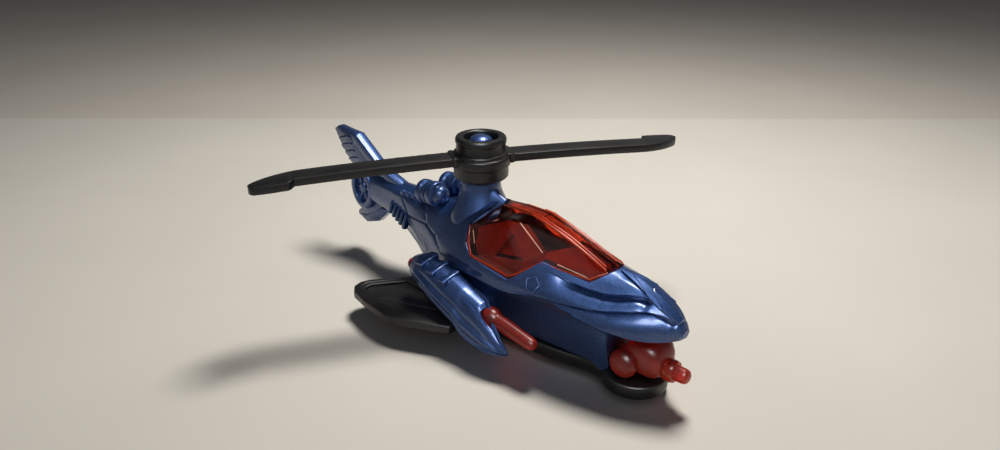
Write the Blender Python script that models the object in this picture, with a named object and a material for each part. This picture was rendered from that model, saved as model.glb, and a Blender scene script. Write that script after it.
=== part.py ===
"""Die-cast toy helicopter: metal body shell, plastic base with stub wings, clear canopy and guns,
a two-bladed rotor that spins on the body's mast, and two free-rolling axles hidden in the base.

Frame: origin on the ground under the mast, +X to the nose, +Y to port, +Z up. Lengths below are in
millimetres and become metres when an object is made. Starboard is -Y; the two sides mirror.
"""

import math

import bmesh
import bpy
from mathutils import Matrix, Vector

MM = 0.001
GAP = 0.3
WALL = 1.2
CANOPY_THICKNESS = 1.0
SLIVER = 0.005

# Rotor
ROTOR_RADIUS = 37.0
ROTOR_REST_ANGLE = math.radians(61.0)
BLADE_HALF_WIDTH = 2.0
BLADE_THICKNESS = 1.4
BLADE_TOP = 29.4
BLADE_DROOP = 1.0
PADDLE_START = 30.3
PADDLE_CORNER = 30.9
PADDLE_STEP = 1.5
HUB_TOP = 32.4
HUB_BOTTOM = 25.3
HUB_RADIUS = 4.6
HUB_RING_RADIUS = 4.1
HUB_COLLAR_RADIUS = 4.95
HUB_CUP_RADIUS = 2.8
HUB_CUP_FLOOR = 30.4
HUB_BORE = 1.6

# Mast, a post of the casting with a domed head that keeps the rotor on
MAST_BOSS_RADIUS = 3.3
MAST_FLARE_RADIUS = 4.6
MAST_POST_RADIUS = 1.25
MAST_HEAD_RADIUS = 2.15
MAST_HEAD_BASE = 30.75
MAST_HEAD_TOP = 32.6

# Base plate
BASE_BOTTOM = 1.0
BASE_TOP = 3.2
SKID_CENTRE = 33.3
SKID_RADIUS = 5.0
WING_BOTTOM = 3.6
WING_TOP = 5.2

# Posts of the casting whose ends are peened under the base
FRONT_POST = 29.8
REAR_POST = -10.8
POST_RADIUS = 1.2
POST_HEAD_RADIUS = 1.9

# Rolling gear
WHEEL_RADIUS = 2.2
WHEEL_WIDTH = 1.5
WHEEL_TRACK = 3.4
WHEEL_BORE = 0.8
AXLE_RADIUS = 0.5
AXLE_HEAD_RADIUS = 0.9
AXLE_HALF = 4.75
FRONT_AXLE = 15.5
REAR_AXLE = -4.5
WELL_SIDE = 4.95
WHEEL_ROOM_SIDE = 5.1

# Pod guns: a rod through each pod, tipped seven degrees nose down
GUN_SIDE = 10.6
GUN_REAR = (-6.0, 10.6)
GUN_FRONT = (22.4, 6.9)
GUN_BORE = 1.4
GUN_MOUTH = 1.85

# Chin turret
DRUM_CENTRE = (33.3, 5.8)
DRUM_RADIUS = 2.0
DRUM_HALF = 4.6

# Tail
FIN_HALF = 1.2
DUCT_CENTRE = (-32.8, 14.4)
DUCT_OUTER = (3.4, 4.5)
DUCT_INNER = (2.4, 3.3)
DUCT_HUB = (1.0, 1.5)
DUCT_HALF = 2.1
DUCT_DEPTH = 1.0

# Feature lines of the fuselage, as (x, half width, z) from the tail forward
SPINE = [(-30, 0, 17.9), (-22, 0, 18.5), (-12, 0, 18.7), (-5, 0, 19.6), (0, 0, 21.6), (6, 0, 22.6),
         (15, 0, 22.9), (21, 0, 21.3), (28, 0, 18.8), (33, 0, 18.1), (36.5, 0, 16.8), (39, 0, 15.4),
         (40.4, 0, 14.3), (41.0, 0, 13.3)]
RIDGE = [(-30, 0.9, 17.8), (-12, 1.6, 18.5), (0, 1.6, 21.4), (6, 1.2, 22.5), (15, 1.1, 22.8),
         (28, 1.2, 18.7), (33, 1.5, 17.9), (37, 1.5, 16.3), (39, 1.3, 15.1), (40.4, 0.9, 14.0),
         (41.0, 0.5, 13.2)]
SHOULDER = [(-30, 1.7, 16.8), (-20, 2.8, 17.2), (-12, 3.9, 17.2), (-5, 4.6, 18.2), (2, 4.6, 20.0),
            (8, 4.3, 21.2), (13, 4.1, 21.3), (20, 3.7, 19.8), (27, 3.2, 17.9), (33, 3.1, 16.9),
            (37, 2.6, 15.5), (39, 2.0, 14.5), (40.4, 1.3, 13.6), (41.0, 0.7, 13.1)]
SILL = [(-30, 2.0, 15.4), (-20, 2.9, 15.4), (-12, 4.6, 15.0), (-5, 6.1, 15.6), (2, 7.0, 16.6),
        (8, 7.3, 17.0), (14, 7.2, 16.9), (20, 6.2, 17.0), (27, 5.2, 16.3), (33, 4.4, 15.3),
        (37, 3.1, 14.5), (39, 2.2, 13.8), (40.4, 1.4, 13.2), (41.0, 0.8, 13.0)]
BAND = [(-30, 2.1, 13.9), (-20, 3.0, 13.6), (-12, 4.9, 13.0), (-5, 6.9, 13.4), (2, 8.2, 14.0),
        (8, 8.7, 14.3), (14, 8.6, 14.3), (20, 7.9, 14.4), (27, 6.9, 14.1), (33, 5.4, 13.7),
        (37, 3.6, 13.2), (39, 2.4, 12.9), (40.4, 1.4, 12.7), (41.0, 0.8, 12.8)]
LIP = [(-30, 1.8, 12.8), (-24, 2.0, 12.2), (-19.6, 2.5, 11.5), (-16, 3.2, 11.0), (-10.4, 5.0, 10.2),
       (-6.6, 6.5, 10.5), (1, 8.5, 12.0), (7, 9.0, 12.4), (13, 9.0, 12.3), (20.5, 8.1, 12.9),
       (27, 7.2, 12.3), (32.5, 6.0, 11.7), (36, 4.5, 11.4), (38.5, 2.6, 11.4),
       (40.2, 1.2, 11.9), (41.0, 0.6, 12.5)]
UNDER = [(-30, 1.0, 12.6), (-24, 1.2, 11.9), (-16, 2.4, 10.2), (-10.4, 4.0, 9.2), (-6.6, 5.4, 9.5),
         (1, 7.2, 11.0), (13, 7.6, 11.2), (20.5, 6.7, 11.8), (27, 5.8, 11.2), (32.5, 4.6, 10.7),
         (36, 3.2, 10.6), (38.5, 1.5, 10.9), (40.2, 0.8, 11.6), (41.0, 0.4, 12.3)]
CHINE = [(-30, 0.8, 12.4), (-24, 1.0, 11.6), (-16, 2.2, 8.8), (-11, 3.4, 6.6), (-6, 4.8, 6.3),
         (7, 6.3, 6.6), (13, 6.2, 6.7), (20, 5.6, 7.0), (27, 4.6, 7.2), (30.6, 4.3, 7.3),
         (31.2, 4.3, 10.5), (38.5, 0.9, 10.7), (40.2, 0.5, 11.5), (41.0, 0.3, 12.2)]
KEEL = [(-30, 0.5, 12.4), (-24, 0.6, 11.5), (-16, 1.8, 8.2), (-11, 2.8, 4.4), (-8, 3.8, 3.5),
        (7, 5.4, 3.5), (13, 5.2, 3.5), (20, 4.4, 3.5), (27, 3.6, 3.5), (30.6, 3.4, 3.5),
        (31.2, 3.3, 10.4), (38.5, 0.5, 10.6), (40.2, 0.3, 11.4), (41.0, 0.2, 12.2)]
LINES = [SPINE, RIDGE, SHOULDER, SILL, BAND, LIP, UNDER, CHINE, KEEL]
STATIONS = [-30, -24, -19, -15, -11, -7, -3, 2, 6, 10, 14.5, 18.6, 23, 27, 30.6, 31.2, 35, 37.5,
            39.2, 40.4, 41.0]

# Outline of the clear canopy seen from the side, (x, z)
CANOPY_SIDE = [(6.2, 24.0), (2.5, 19.0), (3.4, 16.6), (5.6, 15.2), (14.2, 14.3), (15.3, 15.0),
               (18.7, 18.0), (26.9, 17.1), (28.6, 18.3), (30.2, 19.2), (24.0, 24.0)]

# Colours, linear RGB
BLUE = (0.028, 0.065, 0.235)
BLACK = (0.012, 0.011, 0.010)
RED = (0.55, 0.035, 0.012)
STEEL = (0.45, 0.45, 0.46)


# ---------------------------------------------------------------- helpers
def clear_scene():
    for item in list(bpy.data.objects):
        bpy.data.objects.remove(item)


def material(name, colour, roughness, metallic=0.0, alpha=1.0):
    made = bpy.data.materials.new(name)
    made.use_nodes = True
    shader = made.node_tree.nodes["Principled BSDF"]
    shader.inputs["Base Color"].default_value = (*colour, 1.0)
    shader.inputs["Roughness"].default_value = roughness
    shader.inputs["Metallic"].default_value = metallic
    shader.inputs["Alpha"].default_value = alpha
    return made


def solid(name, verts, faces):
    """Closed mesh object from millimetre points, faces turned outward."""
    mesh = bpy.data.meshes.new(name)
    mesh.from_pydata([Vector(v) * MM for v in verts], [], faces)
    work = bmesh.new()
    work.from_mesh(mesh)
    bmesh.ops.remove_doubles(work, verts=work.verts, dist=0.001 * MM)
    bmesh.ops.recalc_face_normals(work, faces=work.faces)
    bmesh.ops.triangulate(work, faces=work.faces)
    work.to_mesh(mesh)
    work.free()
    item = bpy.data.objects.new(name, mesh)
    bpy.context.collection.objects.link(item)
    return item


def loft(name, rings):
    """Skin between equal rings of points, closed by a cap at each end."""
    count = len(rings[0])
    verts = [point for ring in rings for point in ring]
    faces = []
    for r in range(len(rings) - 1):
        for k in range(count):
            near = r * count + k
            nxt = r * count + (k + 1) % count
            faces.append((near, nxt, nxt + count, near + count))
    faces.append(tuple(range(count)))
    faces.append(tuple(range((len(rings) - 1) * count, len(rings) * count)))
    return solid(name, verts, faces)


def slab(name, outline, low, high, axis="Z"):
    """Outline extruded between two heights: (x, y) along Z, or (x, z) along Y."""
    if axis == "Z":
        rings = [[(a, b, h) for a, b in outline] for h in (low, high)]
    else:
        rings = [[(a, h, b) for a, b in outline] for h in (low, high)]
    return loft(name, rings)


def turned(name, profile, sides, place=None):
    """Profile of (radius, height) turned about Z, then put in place by a matrix in millimetres."""
    rings = []
    for radius, height in profile:
        ring = []
        for k in range(sides):
            turn = 2 * math.pi * (k + 0.5) / sides
            ring.append(Vector((radius * math.cos(turn), radius * math.sin(turn), height)))
        rings.append(ring)
    if place is not None:
        rings = [[place @ point for point in ring] for ring in rings]
    return loft(name, rings)


def box(name, across_x, across_y, across_z):
    outline = [(across_x[0], across_y[0]), (across_x[1], across_y[0]), (across_x[1], across_y[1]),
               (across_x[0], across_y[1])]
    return slab(name, outline, *across_z)


def pointing(start, end):
    """Matrix that stands local Z along the line from start to end."""
    start = Vector(start)
    along = Vector(end) - start
    return Matrix.Translation(start) @ along.to_track_quat("Z", "Y").to_matrix().to_4x4()


def bevel(item, width, segments=1, angle=30):
    step = item.modifiers.new("bevel", "BEVEL")
    step.width = width * MM
    step.segments = segments
    step.limit_method = "ANGLE"
    step.angle_limit = math.radians(angle)
    settle(item)


def settle(item):
    """Apply an object's modifiers."""
    graph = bpy.context.evaluated_depsgraph_get()
    mesh = bpy.data.meshes.new_from_object(item.evaluated_get(graph))
    item.modifiers.clear()
    item.data = mesh


def weld(item):
    """Close the hair-thin slivers that a cut can leave."""
    work = bmesh.new()
    work.from_mesh(item.data)
    bmesh.ops.remove_doubles(work, verts=work.verts, dist=SLIVER * MM)
    bmesh.ops.dissolve_degenerate(work, edges=work.edges, dist=SLIVER * MM)
    work.to_mesh(item.data)
    work.free()


def combine(item, tools, operation):
    for tool in tools:
        step = item.modifiers.new("combine", "BOOLEAN")
        step.operation = operation
        step.object = tool
        settle(item)
        weld(item)
        bpy.data.objects.remove(tool)


def join(item, *tools):
    combine(item, tools, "UNION")


def cut(item, *tools):
    combine(item, tools, "DIFFERENCE")


def keep_common(item, *tools):
    combine(item, tools, "INTERSECT")


def mirrored(outline):
    """Second half of an outline of (x, y) points, reflected across the middle."""
    return outline + [(x, -y) for x, y in reversed(outline)]


def arc(centre, radii, start, end, steps):
    """Points of an elliptical arc, angles in degrees."""
    points = []
    for k in range(steps + 1):
        turn = math.radians(start + (end - start) * k / steps)
        points.append((centre[0] + radii[0] * math.cos(turn), centre[1] + radii[1] * math.sin(turn)))
    return points


def finish(item, look, smooth=30):
    """Give a node its material and shading."""
    item.data.materials.clear()
    item.data.materials.append(look)
    item.data.shade_smooth()
    item.data.set_sharp_from_angle(angle=math.radians(smooth))


# ---------------------------------------------------------------- fuselage surface
def along(line, x):
    """Half width and height of a feature line at x, by a smooth curve through its points."""
    if x <= line[0][0]:
        return line[0][1:]
    if x >= line[-1][0]:
        return line[-1][1:]
    k = next(i for i in range(len(line) - 1) if line[i + 1][0] > x)
    low, high = line[k], line[k + 1]
    before = line[max(k - 1, 0)]
    after = line[min(k + 2, len(line) - 1)]
    span = high[0] - low[0]
    t = (x - low[0]) / span
    found = []
    for c in (1, 2):
        slope_low = (high[c] - before[c]) / (high[0] - before[0]) * span
        slope_high = (after[c] - low[c]) / (after[0] - low[0]) * span
        found.append((2 * t**3 - 3 * t**2 + 1) * low[c] + (t**3 - 2 * t**2 + t) * slope_low
                     + (3 * t**2 - 2 * t**3) * high[c] + (t**3 - t**2) * slope_high)
    return tuple(found)


def fuselage_ring(x, inset=0.0, floor=None):
    """Cross-section at x: down the starboard side, up the port side, drawn in by about inset.

    With a floor, the keel is carried straight down to that height.
    """
    half = [along(line, x) for line in LINES]
    widest = max(width for width, height in half)
    middle = (half[0][1] + half[-1][1]) / 2
    tall = half[0][1] - middle
    across = 1 - inset / widest
    upward = 1 - inset / tall
    points = [(x, -width * across, middle + (height - middle) * upward) for width, height in half]
    if floor is not None:
        points[-1] = (x, points[-1][1], floor)
    port = [(px, -py, pz) for px, py, pz in reversed(points[1:])]
    return points + port


def fuselage_hull(name, inset=0.0, stations=None, floor=None):
    return loft(name, [fuselage_ring(x, inset, floor) for x in (stations or STATIONS)])


# ---------------------------------------------------------------- body casting
def tail_pieces():
    """Fin with a stepped trailing edge, tail duct, and the lower fin."""
    steps = [(-41.2, 22.9), (-40.3, 21.6), (-40.6, 21.2), (-39.2, 20.5), (-39.5, 20.1), (-37.9, 19.3),
             (-38.1, 18.9), (-36.6, 18.2)]
    fin = [(-20.5, 18.2), (-24.5, 19.2), (-28.8, 21.2), (-34.6, 25.1), (-40.9, 25.5), (-42.3, 24.6)]
    fin = slab("fin", fin + steps + [(-35.0, 15.0), (-24.0, 14.0)], -FIN_HALF, FIN_HALF, "Y")
    duct = slab("duct", arc(DUCT_CENTRE, DUCT_OUTER, 0, 345, 23), -DUCT_HALF, DUCT_HALF, "Y")
    for side in (-1, 1):
        face = side * (DUCT_HALF + 1)
        floor = side * (DUCT_HALF - DUCT_DEPTH)
        cut(duct, slab("recess", arc(DUCT_CENTRE, DUCT_INNER, 0, 345, 23), floor, face, "Y"))
        disc = slab("disc", arc(DUCT_CENTRE, DUCT_HUB, 0, 330, 11), 0, side * (DUCT_HALF - 0.3), "Y")
        join(duct, disc)
    foot = [(-36.0, 8.4), (-36.2, 7.6), (-33.2, 6.5), (-29.2, 7.9), (-25.3, 11.4), (-26.0, 14.0),
            (-29.5, 13.0), (-33.0, 11.0)]
    foot = slab("foot", foot, -FIN_HALF, FIN_HALF, "Y")
    return [fin, duct, foot]


def engine(side):
    """Stepped exhaust drum behind the mast, domed in front."""
    profile = [(1.6, 0.0), (2.2, 0.4), (2.2, 1.6), (1.9, 1.9), (1.9, 2.5), (2.3, 2.9), (2.3, 4.4),
               (2.0, 5.3), (1.4, 6.0), (0.6, 6.3)]
    place = pointing((-12.4, side * 2.7, 20.0), (-6.0, side * 2.7, 20.6))
    return turned("engine", profile, 16, place)


def mast():
    """Boss that flares from the roof, the post through the rotor, and its domed head."""
    head = MAST_HEAD_TOP - MAST_HEAD_BASE
    dome = [(MAST_HEAD_RADIUS * math.cos(a), MAST_HEAD_BASE + head * math.sin(a))
            for a in (0.0, 0.45, 0.9, 1.3)]
    profile = [(MAST_FLARE_RADIUS, 18.0), (MAST_FLARE_RADIUS - 0.2, 21.5), (3.7, 22.6),
               (MAST_BOSS_RADIUS, 23.4), (MAST_BOSS_RADIUS, HUB_BOTTOM - GAP),
               (MAST_POST_RADIUS, HUB_BOTTOM - GAP), (MAST_POST_RADIUS, MAST_HEAD_BASE)]
    return turned("mast", profile + dome, 20)


def pod_sections():
    """Pod cross-sections from rear to front: x, then inner, outer, bottom and top limits."""
    return [(-5.2, 9.4, 12.2, 9.2, 12.4), (-3.4, 8.8, 12.9, 8.4, 13.3), (1.0, 8.4, 13.7, 6.8, 12.6),
            (4.5, 8.4, 14.0, 5.6, 11.9), (7.4, 8.6, 14.1, 5.5, 11.4), (8.2, 8.7, 14.1, 3.0, 11.2),
            (11.5, 9.0, 14.0, 2.3, 10.4), (14.0, 10.4, 13.8, 2.5, 8.0), (16.4, 11.6, 13.3, 3.3, 5.9),
            (18.4, 12.3, 12.8, 4.2, 4.7)]


def pod(side):
    """Gun pod: a tapering nacelle whose outer wall runs forward to a hooked point."""
    rings = []
    for x, inner, outer, low, high in pod_sections():
        wide = outer - inner
        tall = high - low
        ring = [(inner, low + 0.45 * tall), (inner, high - 0.12 * tall), (inner + 0.3 * wide, high),
                (inner + 0.62 * wide, high - 0.1 * tall), (outer, low + 0.5 * tall),
                (outer - 0.05 * wide, low + 0.14 * tall), (outer - 0.4 * wide, low),
                (inner + 0.2 * wide, low + 0.16 * tall)]
        rings.append([(x, side * y, z) for y, z in ring])
    return loft("pod", rings)


def pod_bridge(side):
    """Short web that ties the pod to the fuselage."""
    outline = [(-3.0, 4.0), (-3.0, 9.4), (10.0, 9.4), (10.0, 4.0)]
    return slab("bridge", [(x, side * y) for x, y in outline], 5.6, 9.4)


def gun_line(x):
    """Height of the gun rod's axis at x."""
    share = (x - GUN_REAR[0]) / (GUN_FRONT[0] - GUN_REAR[0])
    return GUN_REAR[1] + share * (GUN_FRONT[1] - GUN_REAR[1])


def gun_axis(side, start, end):
    return pointing((start, side * GUN_SIDE, gun_line(start)), (end, side * GUN_SIDE, gun_line(end)))


def grown(outline, distance):
    """Outline with every edge moved out by distance; its points run clockwise or anticlockwise."""
    turn = sum(x0 * y1 - x1 * y0 for (x0, y0), (x1, y1) in zip(outline, outline[1:] + outline[:1]))
    facing = distance if turn > 0 else -distance
    moved = []
    for k, point in enumerate(outline):
        before = (Vector(point) - Vector(outline[k - 1])).normalized()
        after = (Vector(outline[(k + 1) % len(outline)]) - Vector(point)).normalized()
        normal = Vector((before.y + after.y, -before.x - after.x)).normalized()
        reach = facing / max(normal.dot(Vector((after.y, -after.x))), 0.3)
        moved.append((point[0] + normal.x * reach, point[1] + normal.y * reach))
    return moved


def canopy_prism(name, grow):
    """The canopy's side outline run across the body, its edges moved out by grow."""
    return slab(name, grown(CANOPY_SIDE, grow), -12, 12, "Y")


def body_casting(look):
    body = fuselage_hull("body_casting")
    join(body, *tail_pieces())
    hollow_stations = [-5.5, -2, 1.5, 5.5, 10, 14.5, 18.6, 23, 27, 29.2]
    cut(body, fuselage_hull("hollow", WALL, hollow_stations, 0.0))
    for x in (FRONT_AXLE, REAR_AXLE):
        reach = WHEEL_RADIUS + 0.5
        sides = (-WHEEL_ROOM_SIDE, WHEEL_ROOM_SIDE)
        cut(body, box("wheel_room", (x - reach, x + reach), sides, (2.0, 2 * WHEEL_RADIUS + 0.6)))
    cut(body, box("wing_notch", (-10.2, 7.5), (-9.5, 9.5), (2.5, WING_TOP + GAP)))
    cut(body, canopy_prism("aperture", 0.0))
    join(body, mast())
    for side in (-1, 1):
        join(body, engine(side), pod(side), pod_bridge(side))
        cut(body, turned("bore", [(GUN_BORE, 0.0), (GUN_BORE, 30.0)], 12, gun_axis(side, -8.0, 22.0)))
        cut(body, turned("mouth", [(GUN_MOUTH, 0.0), (GUN_MOUTH, 12.0)], 12, gun_axis(side, 12.0, 22.0)))
    for x in (FRONT_POST, REAR_POST):
        profile = [(1.6, 1.15), (POST_HEAD_RADIUS, 1.4), (POST_HEAD_RADIUS, 1.7), (POST_RADIUS, 1.7),
                   (POST_RADIUS, 7.0)]
        join(body, turned("post", profile, 12, Matrix.Translation((x, 0, 0))))
    cut(body, box("tongue_slot", (30.2, 33.5), (-1.9, 1.9), (5.7, 9.3)))
    finish(body, look)
    return body


# ---------------------------------------------------------------- other pieces
def canopy(look):
    """Clear faceted canopy: the fuselage surface inside the aperture, as a thin shell."""
    shell = fuselage_hull("canopy_window")
    keep_common(shell, canopy_prism("window", -GAP))
    inner = fuselage_hull("inner", CANOPY_THICKNESS, STATIONS[4:-3])
    cut(shell, inner)
    room = MAST_FLARE_RADIUS + GAP
    cut(shell, turned("mast_room", [(room, 15.0), (room, 26.0)], 20))
    finish(shell, look)
    return shell


def base_outline():
    """Half outline of the base plate, from the tail to the round skid at the nose."""
    flank = [(-13.5, -2.6), (-9.5, -4.6), (8.0, -6.2), (17.7, -5.4), (21.4, -4.8), (26.6, -3.4)]
    skid = arc((SKID_CENTRE, 0), (SKID_RADIUS, SKID_RADIUS), 220, 350, 10)
    return mirrored(flank + skid)


def wing_outline(side):
    """Swept stub wing from above."""
    points = [(-9.0, 4.0), (-14.9, 13.8), (-15.4, 15.4), (-15.0, 17.0), (-13.4, 18.2), (-9.3, 18.9),
              (-3.2, 19.2), (-0.8, 18.6), (7.1, 14.3), (7.1, 4.0)]
    return [(x, side * y) for x, y in points]


def base_plate(look):
    """Floor of the toy, with its stub wings, wheel wells, axle channels and post holes."""
    base = slab("base_plate", base_outline(), BASE_BOTTOM, BASE_TOP)
    for side in (-1, 1):
        wing = slab("wing", wing_outline(side), WING_BOTTOM, WING_TOP)
        panel = [(-10.2, 9.6), (-13.2, 14.6), (-12.6, 16.6), (-3.4, 17.4), (4.2, 13.4), (4.2, 9.6)]
        cut(wing, slab("panel", [(x, side * y) for x, y in panel], WING_TOP - 0.5, WING_TOP + 1))
        root = [(-9.5, 3.9), (-9.5, 8.2), (7.0, 8.2), (7.0, 3.9)]
        strut = slab("root", [(x, side * y) for x, y in root], BASE_TOP - 1.2, WING_TOP - 0.1)
        join(base, strut, wing)
    for x in (FRONT_AXLE, REAR_AXLE):
        reach = WHEEL_RADIUS + 0.4
        for side in (-1, 1):
            sides = sorted((side * 2.3, side * WELL_SIDE))
            cut(base, box("well", (x - reach, x + reach), sides, (0.0, 6.0)))
        cut(base, box("channel", (x - 0.8, x + 0.8), (-WELL_SIDE, WELL_SIDE), (1.4, 6.0)))
    for x in (FRONT_POST, REAR_POST):
        place = Matrix.Translation((x, 0, 0))
        for name, radius, top in (("hole", POST_RADIUS + GAP, 5.0), ("sink", POST_HEAD_RADIUS + GAP, 2.0)):
            cut(base, turned(name, [(radius, 0.0), (radius, top)], 12, place))
    finish(base, look)
    return base


def blade_section(s):
    """Trailing and leading edge of a blade at a distance s from the mast."""
    arm = [(0, BLADE_HALF_WIDTH), (PADDLE_START, BLADE_HALF_WIDTH)]
    widest = BLADE_HALF_WIDTH + PADDLE_STEP
    lead = arm + [(PADDLE_CORNER, widest), (33.0, 3.55), (35.0, 3.5), (36.3, 3.3), (ROTOR_RADIUS, 2.8)]
    trail = arm + [(PADDLE_CORNER, 1.9), (33.0, 1.0), (35.0, -0.5), (36.3, -1.6), (ROTOR_RADIUS, -2.3)]
    return -interpolate(trail, s), interpolate(lead, s)


def interpolate(table, x):
    for (x0, y0), (x1, y1) in zip(table, table[1:]):
        if x <= x1:
            return y0 + (y1 - y0) * (x - x0) / (x1 - x0)
    return table[-1][1]


def blade(turn):
    """One blade, drooping slightly to a paddle-shaped tip, turned about the mast."""
    rings = []
    for s in (3.2, 10, 17, 24, PADDLE_START, PADDLE_CORNER, 33, 35, 36.3, ROTOR_RADIUS):
        trail, lead = blade_section(s)
        top = BLADE_TOP - BLADE_DROOP * (s / ROTOR_RADIUS) ** 2
        bottom = top - BLADE_THICKNESS
        ring = [(s, trail, bottom), (s, lead, bottom), (s, lead, top), (s, trail, top)]
        rings.append([(x * math.cos(turn) - y * math.sin(turn),
                       x * math.sin(turn) + y * math.cos(turn), z) for x, y, z in ring])
    return loft("blade", rings)


def rotor(look):
    """Hub with a cup on top for the mast's head, and two opposite blades."""
    profile = [(4.2, HUB_BOTTOM), (HUB_RADIUS, HUB_BOTTOM + 0.4), (HUB_RADIUS, 27.5),
               (HUB_COLLAR_RADIUS, 27.7), (HUB_COLLAR_RADIUS, 29.0), (HUB_RADIUS, 29.3),
               (HUB_RADIUS, 29.7), (HUB_RING_RADIUS, 29.9), (HUB_RING_RADIUS, HUB_TOP)]
    hub = turned("rotor", profile, 28)
    for turn in (ROTOR_REST_ANGLE, ROTOR_REST_ANGLE + math.pi):
        join(hub, blade(turn))
    cut(hub, turned("bore", [(HUB_BORE, 20.0), (HUB_BORE, 35.0)], 20))
    cut(hub, turned("cup", [(HUB_CUP_RADIUS, HUB_CUP_FLOOR), (HUB_CUP_RADIUS, 35.0)], 24))
    finish(hub, look)
    return hub


def chin_turret(look):
    """Clear turret under the nose: cross drum, mantlet, stubby barrel, and a tongue into the body."""
    x, z = DRUM_CENTRE
    drum = [(DRUM_RADIUS - 0.3, -DRUM_HALF), (DRUM_RADIUS, -DRUM_HALF + 0.3),
            (DRUM_RADIUS, DRUM_HALF - 0.3), (DRUM_RADIUS - 0.3, DRUM_HALF)]
    lying = Matrix.Translation((x, 0, z)) @ Matrix.Rotation(math.radians(90), 4, "X")
    turret = turned("chin_turret", drum, 20, lying)
    mantlet = box("mantlet", (33.2, 38.7), (-3.2, 3.2), (4.3, 9.9))
    bevel(mantlet, 1.4, 2)
    barrel = [(1.35, 0.0), (1.35, 1.6), (1.05, 1.8), (1.05, 3.6), (0.8, 4.6)]
    barrel = turned("barrel", barrel, 16, pointing((37.7, 0, 5.8), (42.3, 0, 6.0)))
    join(turret, mantlet, barrel, box("tongue", (30.5, 33.4), (-1.5, 1.5), (6.0, 9.0)))
    finish(turret, look)
    return turret


def pod_gun(side, name, look):
    """Clear gun: a rod through the pod, with a bell at the mouth and a tapering barrel."""
    profile = [(0.7, 0.0), (1.05, 0.3), (1.05, 18.8), (1.5, 19.2), (1.5, 20.6), (1.2, 21.2), (1.15, 24.0),
               (0.95, 29.0), (0.6, 29.4)]
    gun = turned(name, profile, 16, gun_axis(side, GUN_REAR[0] - 0.6, GUN_FRONT[0]))
    finish(gun, look)
    return gun


def cockpit_insert(look):
    """Inner floor under the canopy, with a seat, a console and a leg down to the base."""
    floor = [(6.8, 4.6), (9.0, 6.4), (18.0, 6.2), (23.0, 4.8), (26.4, 3.0)]
    insert = slab("cockpit_insert", mirrored([(x, -y) for x, y in floor]), 12.2, 13.2)
    seat = slab("seat", [(-2.6, 12.8), (2.6, 12.8), (0.7, 18.6), (-0.7, 18.6)], 8.6, 10.2, "Y")
    for vertex in seat.data.vertices:
        vertex.co = Vector((vertex.co.y, vertex.co.x, vertex.co.z))
    seat.data.flip_normals()
    cushion = box("cushion", (10.0, 13.4), (-2.2, 2.2), (12.8, 14.4))
    console = slab("console", [(19.6, 12.8), (20.6, 15.6), (22.6, 15.2), (23.4, 12.8)], -2.6, 2.6, "Y")
    leg = box("leg", (8.0, 12.2), (-1.9, 1.9), (BASE_TOP + GAP, 12.6))
    join(insert, seat, cushion, console, leg)
    finish(insert, look)
    return insert


def axle(name, x, look):
    """Steel pin across the base with a flattened head at each end."""
    half = [(AXLE_HEAD_RADIUS, AXLE_HALF), (AXLE_HEAD_RADIUS, AXLE_HALF - 0.3),
            (AXLE_RADIUS, AXLE_HALF - 0.3)]
    profile = [(r, -y) for r, y in half] + [(r, y) for r, y in reversed(half)]
    lying = Matrix.Rotation(math.radians(90), 4, "X")
    pin = turned(name, profile, 12, lying)
    pin.location = Vector((x, 0, WHEEL_RADIUS)) * MM
    finish(pin, look)
    return pin


def wheel(name, x, side, look):
    """Small hard wheel with a shallow dish outside."""
    half = WHEEL_WIDTH / 2
    profile = [(WHEEL_RADIUS - 0.2, -half), (WHEEL_RADIUS, -half + 0.2), (WHEEL_RADIUS, half - 0.2),
               (WHEEL_RADIUS - 0.2, half), (1.5, half), (1.4, half - 0.3)]
    facing = Matrix.Rotation(math.radians(-90 * side), 4, "X")
    tyre = turned(name, profile, 24, facing)
    cut(tyre, turned("bore", [(WHEEL_BORE, -3.0), (WHEEL_BORE, 3.0)], 12, facing))
    tyre.location = Vector((x, side * WHEEL_TRACK, WHEEL_RADIUS)) * MM
    finish(tyre, look)
    return tyre


def main():
    clear_scene()
    enamel = material("blue metallic enamel", BLUE, 0.3, 0.6)
    clear_red = material("clear red polystyrene", RED, 0.12, 0.0, 0.5)
    black = material("black moulded plastic", BLACK, 0.45)
    steel = material("plain steel", STEEL, 0.3, 1.0)
    body_casting(enamel)
    base_plate(black)
    canopy(clear_red)
    cockpit_insert(black)
    chin_turret(clear_red)
    pod_gun(-1, "pod_gun_starboard", clear_red)
    pod_gun(1, "pod_gun_port", clear_red)
    rotor(black)
    for end, x in (("front", FRONT_AXLE), ("rear", REAR_AXLE)):
        axle(end + "_axle", x, steel)
        for flank, side in (("starboard", -1), ("port", 1)):
            wheel(f"{end}_wheel_{flank}", x, side, black)


main()
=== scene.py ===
"""Die-cast toy helicopter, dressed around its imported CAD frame.

A zinc body sprayed metallic blue, a black moulded base with stub wings, a clear red canopy, turret
and guns, and a black two-bladed rotor. Lengths in the tables are in millimetres, with +X to the
nose, +Y to port and +Z up; they become metres when a mesh is made. Starboard is -Y.
"""

import math

import bmesh
import bpy
import numpy as np
from bpy.props import FloatProperty, FloatVectorProperty, PointerProperty
from bpy.types import Operator, Panel, PropertyGroup
from mathutils import Matrix, Vector


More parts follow.
